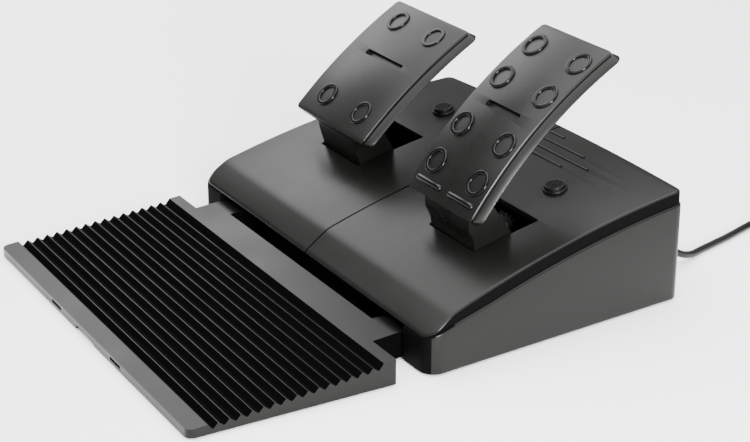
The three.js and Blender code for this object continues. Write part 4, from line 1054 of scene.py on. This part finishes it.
@dataclass
class Button:
    """The ribbed rubber button on the cover behind a pedal."""

    sizes: PedalSizes
    wedge: Wedge
    radius: float = 6.3
    height: float = 3.2
    flange: float = 1.3
    stem: float = 2.4
    dish: float = 0.5
    ridges: int = 8

    def tilt(self) -> float:
        """Tilt of the cover where the button sits."""
        return self.wedge.tilt(self.sizes.button_y)

    def top(self) -> Vector:
        """The middle of its top, as (y, z)."""
        y, tilt = self.sizes.button_y, self.tilt()
        foot = Vector((y, self.wedge.top(y)))
        return foot + self.height * Vector((-math.sin(tilt), math.cos(tilt)))

    def build(self) -> bpy.types.Object:
        """Builds the button with its rounded rim and crosswise ridges."""
        crown, shoulder, stem_end = self.radius - 0.8, 0.6, -9.2
        ledge, seat = self.flange - self.height, 0.3 - self.height
        rim = [(crown - self.dish * (1 - cos), -self.dish * (1 - sin)) for cos, sin in quarter(4)]
        flange = [(self.radius - shoulder * (1 - cos), ledge - shoulder * (1 - sin))
                  for cos, sin in reversed(quarter(4))]
        body = turned([(0, -self.dish), (crown - 1.0, -self.dish), (crown - 1.0, -0.1),
                       *reversed(rim), (crown, ledge), *flange, (self.radius, seat),
                       (self.stem, seat), (self.stem, stem_end), (0, stem_end)], 48)
        button = piece_from(self.settle(body), f"{self.sizes.name}_rubber")
        inner = crown - 1.1
        pitch = 2 * inner / self.ridges
        ridges = bmesh.new()
        for i in range(self.ridges):
            y = -inner + pitch * (i + 0.5)
            reach = math.sqrt(max(inner**2 - y**2, 0.4))
            root, crest = pitch * 0.36, pitch * 0.2
            section = [(y - root, -0.7), (y - crest, -0.02), (y + crest, -0.02), (y + root, -0.7)]
            along_x(section, -reach, reach, ridges)
        weld(button, [self.settle(ridges)])
        finish_mesh(button, 0.0)
        dress(button, RUBBER)
        own(button, Body.HOUSING, "rubber", f"{self.sizes.name}_button")
        return button

    def settle(self, bm: bmesh.types.BMesh) -> bmesh.types.BMesh:
        """Moves a shape made about Z to the middle of the button's top."""
        top = self.top()
        turn = Matrix.Rotation(self.tilt(), 4, "X")
        place = Matrix.Translation((self.sizes.x, top.x, top.y)) @ turn
        bmesh.ops.transform(bm, matrix=place, verts=bm.verts)
        return bm


@dataclass
class ReturnSpring:
    """The compression spring under a pedal's foot, built at rest; the real one flattens as the pedal
    goes down.
    """

    sizes: PedalSizes
    wire: float = 0.6
    coil: float = 5.0
    turns: int = 5
    seat: float = 3.0
    clearance: float = 0.3
    keep: float = 0.42

    def build(self) -> bpy.types.Object:
        """Builds the spring with closed end turns."""
        low = SHELL_WALL + self.wire + self.clearance
        high = self.sizes.pivot[1] + self.seat - self.wire - self.clearance
        steps, sides = 32, 10
        bm = bmesh.new()
        rings = []
        for i in range(steps * self.turns + 1):
            share = i / (steps * self.turns)
            angle = 2 * math.pi * i / steps
            # The end turns lie nearly flat and the middle ones take up the rise.
            rise = share * share * (3 - 2 * share)
            out = Vector((math.cos(angle), math.sin(angle), 0.0))
            middle = out * self.coil + Vector((self.sizes.x, self.sizes.pivot[0] + SPRING_REACH,
                                               lerp(rise, 0, 1, low, high)))
            rings.append([bm.verts.new(middle + self.wire * (
                out * math.cos(turn) + Vector((0, 0, math.sin(turn)))))
                for turn in (2 * math.pi * side / sides for side in range(sides))])
        for first, second in zip(rings, rings[1:]):
            for side in range(sides):
                nxt = (side + 1) % sides
                bm.faces.new((first[side], first[nxt], second[nxt], second[side]))
        bm.faces.new(rings[0])
        bm.faces.new(rings[-1][::-1])
        spring = piece_from(bm, f"{self.sizes.name}_spring")
        finish_mesh(spring, 0.0, smooth_deg=60)
        dress(spring, GROUND_STEEL)
        own(spring, Body.HOUSING, "ground_steel", f"{self.sizes.name}_return_spring")
        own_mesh(spring)
        return spring


# ---------------------------------------------------------------- heel plate


@dataclass
class HeelPlate:
    """The ribbed plate under the user's heels, hinged to the housing's front, in millimetres."""

    width: float = 234.0
    front: float = -118.8
    shoulder: float = -15.3
    middle_gap: float = 4.3
    front_height: float = 4.2
    rise: float = 0.082
    ridges: int = 15
    pitch: float = 5.5
    depth: float = 2.8
    drop: float = 0.75
    crest_flat: float = 0.2
    valley_flat: float = 0.35
    first_valley: float = 11.9
    front_strip: float = 9.5
    tab_inner: float = 76.0
    tab_outer: float = 95.6
    pin: Point = (6.0, 7.5)
    pin_hole: float = 2.8
    knuckle: float = 5.6
    corner: float = 4.0

    def top(self, y: float) -> float:
        """Height of the flat strips at a distance back."""
        return self.front_height + self.rise * (y - self.front)

    def outline(self) -> list[Point]:
        """The plate's side view, without its tabs."""
        points = [(self.front, 0.0), (self.front, self.top(self.front)),
                  (self.front + self.front_strip, self.top(self.front + self.front_strip))]
        for i in range(self.ridges + 1):
            valley = self.front + self.first_valley + i * self.pitch
            low = self.top(valley) - self.depth
            points += [(valley - self.valley_flat, low), (valley + self.valley_flat, low)]
            if i < self.ridges:
                crest = valley + self.pitch / 2
                high = self.top(crest) - self.drop
                points += [(crest - self.crest_flat, high), (crest + self.crest_flat, high)]
        strip = self.front + self.first_valley + (self.ridges + 0.5) * self.pitch
        back = -self.middle_gap
        return [*points, (strip, self.top(strip)), (back, self.top(back)), (back, 0.0)]

    def tab(self, side: int) -> bmesh.types.BMesh:
        """One hinge tab, round at its end."""
        y, z = self.pin
        edge = -self.middle_gap - 2
        arc = [(y + self.knuckle * math.cos(t), z + self.knuckle * math.sin(t))
               for t in (math.pi / 4 - 3 * math.pi / 4 * i / 14 for i in range(15))]
        crown = [(-1.8, self.top(-1.8)), (1.0, self.top(-1.8) - 0.15), (4.0, self.top(-1.8) - 0.7)]
        points = [(edge, 0.0), (edge, self.top(edge)), *crown, *arc, (-self.middle_gap, 0.0)]
        low, high = sorted((side * self.tab_inner, side * self.tab_outer))
        return along_x(points, low, high)

    def cells(self) -> bmesh.types.BMesh:
        """The open cells under the plate, between its ribs."""
        columns, rows, rib = 9, 3, 2.0
        start, end = self.front + 36, self.shoulder - 6
        half = self.width / 2 - 5
        wide = (2 * half - rib * (columns - 1)) / columns
        deep = (end - start - rib * (rows - 1)) / rows
        bm = bmesh.new()
        for row in range(rows):
            near = start + row * (deep + rib)
            far = near + deep
            roofs = [self.top(y) - self.depth - 1.6 for y in (near, far)]
            for column in range(columns):
                left = -half + column * (wide + rib)
                along_x([(near, -3.0), (far, -3.0), (far, roofs[1]), (near, roofs[0])],
                        left, left + wide, bm)
        return bm

    def build(self) -> bpy.types.Object:
        """Builds the plate."""
        half = self.width / 2
        plate = piece_from(along_x(self.outline(), -half, half), "heel_grip")
        carve(plate, [self.notches(), self.cells(), *(self.corner_cutter(side) for side in (-1, 1))])
        weld(plate, [self.tab(side) for side in (-1, 1)])
        bores = bmesh.new()
        for side in (-1, 1):
            start, end = side * (self.tab_outer - 7.5), side * (self.tab_outer + 2)
            rod(bores, self.pin_hole, (start, *self.pin), (end, *self.pin), 32)
        carve(plate, [bores])
        finish_mesh(plate, 0.3, smooth_deg=28)
        # The second finish is painted shade, for the ridges' slopes and the tabs' sides.
        dress(plate, SATIN_ABS, HEEL_SHADE_ABS)
        self.paint_heel_shade(plate)
        own(plate, Body.HEEL, "matte_black_plastic", "heel_plate")
        return plate

    def notches(self) -> bmesh.types.BMesh:
        """What is cut out beside the tabs, in the front edge and underneath for the feet."""
        clear, half = 3.0, self.width / 2
        front, foot_y = self.front, self.front + 12
        bm = bmesh.new()
        for side in (-1, 1):
            low, high = sorted((side * self.tab_outer, side * (half + 5)))
            slit, foot_x = side * 37, side * 98
            box(bm, (low, self.shoulder, -5), (high, 5, 40))
            box(bm, (slit - 6, front - clear, 1.4), (slit + 6, front + 0.7, 3.1))
            rod(bm, 5.3, (foot_x, foot_y, -clear), (foot_x, foot_y, 1.3), 48)
        box(bm, (-11, front - clear, -clear), (11, front + 6, 1.7), 1.5)
        return bm

    def corner_cutter(self, side: int) -> bmesh.types.BMesh:
        """What is cut away to round one of the plate's front corners."""
        half, radius, clear = self.width / 2, self.corner, 3.0
        arc = [(half - radius + radius * math.sin(t), self.front + radius - radius * math.cos(t))
               for t in (math.pi / 2 * i / 8 for i in range(9))]
        points = [*arc, (half + clear, self.front + radius), (half + clear, self.front - clear),
                  (half - radius, self.front - clear)]
        bm = bmesh.new()
        face = bm.faces.new([bm.verts.new((side * x, y, -clear)) for x, y in points])
        carried = bmesh.ops.extrude_face_region(bm, geom=[face], use_keep_orig=True)
        moved = [v for v in carried["geom"] if isinstance(v, bmesh.types.BMVert)]
        bmesh.ops.translate(bm, vec=(0, 0, 20), verts=moved)
        return bm

    def paint_heel_shade(self, plate: bpy.types.Object) -> None:
        """Paints shade on the ridges' slopes and the tabs' sides: they get the darker shade-painted copy
        of the plate's ABS, and the crests keep the satin one.
        """
        first = self.front + self.front_strip + 0.3
        last = self.front + self.first_valley + (self.ridges + 0.5) * self.pitch
        for polygon in plate.data.polygons:
            middle, normal = polygon.center / MM - HOUSING_SHIFT, polygon.normal
            crest = normal.z > 0.93 and self.top(middle.y) - middle.z < self.drop + 0.6
            slope = abs(normal.x) < 0.5 and normal.z > 0.05 and not crest
            tab_side = middle.y > self.shoulder and abs(normal.x) > 0.8
            if first < middle.y < last and slope or tab_side:
                polygon.material_index = 1


# ---------------------------------------------------------------- lead


# The lead's chosen points in the model's frame, in metres, from the strain relief to the coil.
LEAD_ROUTE = (
    (0.0740, 0.1564, 0.0092), (0.0740, 0.1574, 0.0092), (0.0739, 0.1595, 0.0082),
    (0.0732, 0.1650, 0.0054), (0.0706, 0.1730, 0.0029), (0.0670, 0.1820, 0.0021),
    (0.0642, 0.1920, 0.0021), (0.0609, 0.2040, 0.0021), (0.0578, 0.2135, 0.0021),
    (0.0544, 0.2236, 0.0021), (0.0522, 0.2310, 0.0021), (0.0513, 0.2380, 0.0021),
    (0.0512, 0.2430, 0.0021))


@dataclass
class Lead:
    """The lead to the wheel: strain relief, cable with its coil, tie and plug, in metres.

    Each of the coil's turns has a (column, layer) place in the coil's section.
    """

    diameter: float = 0.0038
    coil_centre: tuple[float, float] = (0.082, 0.254)
    coil_radius: float = 0.022
    coil_lift: float = 0.0013
    tail_angle: float = 100.0
    turn_slots: tuple[tuple[int, int], ...] = (
        (3, 0), (2, 0), (1, 0), (0, 0), (0, 1), (0, 2), (1, 2), (1, 1), (2, 1), (2, 2), (3, 2), (3, 1))
    steps_per_turn: int = 36
    leaves_at: float = 112.0

    def slot_place(self, index: int) -> tuple[float, float]:
        """Radius and height of one turn of the coil."""
        column, layer = self.turn_slots[min(index, len(self.turn_slots) - 1)]
        return (self.coil_radius + (column - 1.5) * self.diameter,
                self.coil_lift + self.diameter * (layer + 0.5))

    def coil(self) -> list[Vector]:
        """Points along the coil, clockwise from its left side."""
        sweep = 180.0 - self.leaves_at + 360.0 * (len(self.turn_slots) - 1)
        count = int(sweep / 360 * self.steps_per_turn)
        points = []
        for i in range(count + 1):
            done = sweep * i / count / 360
            index, part = int(done), done % 1
            # Each turn keeps to its own place and crosses to the next one over its last stretch.
            share = max(lerp(part, 0.82, 1.0, 0.0, 1.0), 0.0)
            ease = share * share * (3 - 2 * share)
            radius, height = (
                a + (b - a) * ease for a, b in zip(self.slot_place(index), self.slot_place(index + 1)))
            angle = math.radians(180.0 - 360.0 * done)
            points.append(Vector((self.coil_centre[0] + radius * math.cos(angle),
                                  self.coil_centre[1] + radius * math.sin(angle), height)))
        return points

    def plug_frame(self) -> tuple[Vector, Vector]:
        """Where the lead's last stretch starts, and which way it and the plug point."""
        angle = math.radians(self.tail_angle)
        reach = self.coil_radius + 2.5 * self.diameter + 0.0003
        start = Vector((self.coil_centre[0] + reach * math.cos(angle),
                        self.coil_centre[1] + reach * math.sin(angle), 0.0))
        return start, Vector((math.sin(angle), -math.cos(angle), 0.0))

    def route(self) -> list[Vector]:
        """The whole cable's middle line."""
        start, way = self.plug_frame()
        end = start + way * 0.0262 + Vector((0, 0, 0.0033))
        tail = [end - way * 0.010, end - way * 0.004, end]
        points = [Vector(p) for p in LEAD_ROUTE] + self.coil()[1:] + tail
        return self.smoothed(points)

    def smoothed(self, points: list[Vector], steps: int = 3) -> list[Vector]:
        """A smooth line through points."""
        padded = [points[0], *points, points[-1]]
        line = []
        for a, b, c, d in zip(padded, padded[1:], padded[2:], padded[3:]):
            for i in range(steps):
                t = i / steps
                line.append(0.5 * (2 * b + (c - a) * t + (2 * a - 5 * b + 4 * c - d) * t**2
                                   + (3 * b - a - 3 * c + d) * t**3))
        return [*line, points[-1]]

    def cable(self) -> tuple[bpy.types.Object, float]:
        """Builds the cable as a round curve, and measures it."""
        points = self.route()
        curve = bpy.data.curves.new("lead", "CURVE")
        curve.dimensions = "3D"
        curve.bevel_depth = self.diameter / 2
        curve.bevel_resolution = 4
        curve.use_fill_caps = True
        line = curve.splines.new("POLY")
        line.points.add(len(points) - 1)
        for target, point in zip(line.points, points):
            target.co = (*point, 1.0)
        cable = bpy.data.objects.new("lead", curve)
        bpy.context.scene.collection.objects.link(cable)
        curve.materials.append(SHEATH.material())
        return cable, sum((b - a).length for a, b in zip(points, points[1:]))

    def boot(self) -> bpy.types.Object:
        """Builds the tapered strain relief with its flexing grooves."""
        neck, collar, bead, cuff = 4.0, 5.6, 0.4, 2.4
        root, tip, groove = 4.4, 2.9, 0.75
        length, segments = 16.0, 5
        end, pitch = cuff + length, length / segments
        profile = [(0, -6.0), (collar, -6.0), (collar, -4.0), (neck, -4.0), (neck, 0.0),
                   (collar - bead, 0.0), (collar, bead), (collar, cuff - bead), (collar - bead, cuff)]
        for i in range(segments):
            z = cuff + pitch * i
            wide, less = (lerp(at, cuff, end, root, tip) for at in (z, z + pitch))
            profile += [(wide, z), (wide - 0.05, z + pitch * 0.58),
                        (less - groove, z + pitch * 0.68), (less - groove, z + pitch * 0.92)]
        profile += [(tip, end - 0.8), (tip - 0.3, end), (0, end)]
        bm = turned(profile, 48)
        x, z = LEAD_HOLE
        wedge = Wedge()
        on_wall = Matrix.Translation((x, wedge.depth + wedge.bow(x) + 0.6, z))
        bmesh.ops.transform(bm, matrix=on_wall @ Matrix.Rotation(-math.pi / 2, 4, "X"), verts=bm.verts)
        boot = piece_from(bm, "strain_boot")
        finish_mesh(boot, 0.0, smooth_deg=40)
        dress(boot, RUBBER)
        own(boot, Body.HOUSING, "lead_sheath", "strain_relief")
        return boot

    def tie(self) -> bpy.types.Object:
        """Builds the strap round the coil."""
        low, high = (Vector(corner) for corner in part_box("coil_tie"))
        wall = Vector((0.00095, -0.004, 0.00095))
        tie = self.sleeve(low, high, "lead_tie")
        boolean(tie, self.sleeve(low + wall, high - wall, "room"), "DIFFERENCE")
        finish_mesh(tie, 0.12)
        dress(tie, RUBBER)
        own(tie, Body.HOUSING, "lead_sheath", "coil_tie")
        return tie

    def sleeve(self, low: Vector, high: Vector, name: str) -> bpy.types.Object:
        """A bar along Y with rounded long edges, in metres."""
        bm = bmesh.new()
        box(bm, low, high)
        long = [e for e in bm.edges if abs(e.verts[0].co.y - e.verts[1].co.y) > 0.5 * (high.y - low.y)]
        bmesh.ops.bevel(bm, geom=long, offset=0.0014, segments=5, profile=0.5, affect="EDGES",
                        material=-1)
        return piece_from(bm, name, to_model=False)

    def plug(self) -> bpy.types.Object:
        """Builds the small modular plug with its latch, boot and contacts."""
        start, way = self.plug_frame()
        turn = Matrix.Rotation(math.atan2(way.y, way.x), 4, "Z")
        place = Matrix.Translation(start) @ turn @ Matrix.Scale(MM, 4)
        body, sleeve, latch = bmesh.new(), bmesh.new(), bmesh.new()
        box(body, (32.6, -4.85, 0.9), (47.6, 4.85, 6.6))
        rod(sleeve, 2.9, (24.6, 0, 3.3), (34.0, 0, 3.3), 32, end_radius=3.2)
        box(latch, (34.0, -1.6, 0.0), (46.0, 1.6, 0.9))
        shapes = []
        for shape in (body, sleeve, latch):
            bmesh.ops.transform(shape, matrix=place, verts=shape.verts)
            shapes.append(piece_from(shape, "part", to_model=False))
        plug = shapes[0]
        plug.name = "modular_plug"
        for shape in shapes[1:]:
            boolean(plug, shape, "UNION")
        finish_mesh(plug, 0.25)
        dress(plug, GREY_NYLON)
        own(plug, Body.HOUSING, "grey_plastic", "plug")
        count, pitch = 6, 1.02
        contacts = bmesh.new()
        for i in range(count):
            y = (i - (count - 1) / 2) * pitch
            box(contacts, (42.5, y - 0.2, 6.45), (47.4, y + 0.2, 6.7))
        bmesh.ops.transform(contacts, matrix=place, verts=contacts.verts)
        pins = piece_from(contacts, "plug_contacts", to_model=False)
        finish_mesh(pins, 0.05)
        dress(pins, GILT)
        own(pins, Body.HOUSING, "zinc_steel")
        return plug

    def build(self) -> None:
        boot, tie, plug = self.boot(), self.tie(), self.plug()
        cable, length = self.cable()
        own(cable, Body.HOUSING, "lead_sheath", "cable", "cable_coil", "plug_lead")
        log.info("lead: %.3f m", length)


# ---------------------------------------------------------------- studio


@dataclass
class Studio:
    """The plain floor, the soft lights and the camera, in metres, degrees and watts.

    The wide ceiling lamp lights everything evenly. The left one is what the cover and the pedal
    faces mirror, and the right one is what the pedals' flared right walls mirror.
    """

    azimuth: float = 59.85
    elevation: float = 22.2
    place: tuple[float, float, float] = (0.7549, -0.4170, 0.3841)
    lens: float = 88.19
    sky: float = 0.38
    floor_half: float = 6.0
    lamps: tuple[tuple[str, tuple[float, float, float], float, float], ...] = (
        ("ceiling", (0.0, 0.0, 2.2), 4.0, 290.0),
        ("left_strip", (-0.75, 0.1, 0.5), 0.45, 2.6),
        ("right_strip", (1.25, -0.25, 0.42), 0.45, 60.0))

    def camera(self) -> None:
        """Sets the camera at the right front, looking down at the unit."""
        data = bpy.data.cameras.new("camera")
        data.lens = self.lens
        data.sensor_width = 36.0
        data.clip_start = 0.01
        camera = bpy.data.objects.new("camera", data)
        camera.location = self.place
        camera.rotation_euler = (math.radians(90 - self.elevation), 0.0, math.radians(self.azimuth))
        bpy.context.scene.collection.objects.link(camera)
        bpy.context.scene.camera = camera

    def floor(self) -> None:
        """Lays a plain pale floor."""
        bm = bmesh.new()
        bmesh.ops.create_grid(bm, x_segments=1, y_segments=1, size=self.floor_half)
        floor = piece_from(bm, "floor", to_model=False)
        material = bpy.data.materials.new("pale_floor")
        material.use_nodes = True
        shader = material.node_tree.nodes["Principled BSDF"]
        shader.inputs["Base Color"].default_value = linear("f7f7f7")
        shader.inputs["Roughness"].default_value = 0.9
        shader.inputs["Specular IOR Level"].default_value = 0.1
        floor.data.materials.append(material)

    def lamp(self, name: str, place: tuple[float, float, float], size: float, power: float) -> None:
        """Hangs one soft lamp that points at the unit."""
        data = bpy.data.lights.new(name, "AREA")
        data.shape = "SQUARE"
        data.size = size
        data.energy = power
        lamp = bpy.data.objects.new(name, data)
        lamp.location = place
        middle = Vector((0.0, 0.0, 0.03))
        towards = middle - Vector(place)
        lamp.rotation_euler = towards.to_track_quat("-Z", "Y").to_euler()
        bpy.context.scene.collection.objects.link(lamp)

    def build(self) -> None:
        """Sets up the studio."""
        self.camera()
        self.floor()
        world = bpy.data.worlds.new("studio")
        world.use_nodes = True
        backdrop = world.node_tree.nodes["Background"]
        backdrop.inputs["Color"].default_value = (1.0, 1.0, 1.0, 1.0)
        backdrop.inputs["Strength"].default_value = self.sky
        bpy.context.scene.world = world
        for name, place, size, power in self.lamps:
            self.lamp(name, place, size, power)


def dress_inner_works() -> None:
    """Gives the CAD's own screws, shafts, sensors and board their finishes."""
    by_word = {
        "screw": ZINC, "sensor_nut": ZINC, "sensor_shaft": GROUND_STEEL, "sensor_lead": SHEATH,
        "inner_lead": SHEATH, "_sensor": GREY_NYLON, "bearing_cap": GREY_NYLON,
        "pinion": BLACK_NYLON, "_shaft": GROUND_STEEL, "foot": RUBBER,
        "circuit_board": SOLDER_RESIST}
    for name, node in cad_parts.items():
        finish = next((f for word, f in by_word.items() if word in name), None)
        if finish:
            dress(node, finish)
            log.info("%s: %s", name, finish.name)


def main() -> None:
    """Builds the studio and every visible piece."""
    Studio().build()
    Lead().build()
    housing = Housing()
    housing.shell()
    housing.cover()
    HeelPlate().build()
    for sizes in PEDALS:
        pedal = Pedal(sizes)
        pedal.plate()
        pedal.arm()
        Button(sizes, housing.wedge).build()
        ReturnSpring(sizes).build()
    dress_inner_works()


if __name__ == "__main__":
    main()
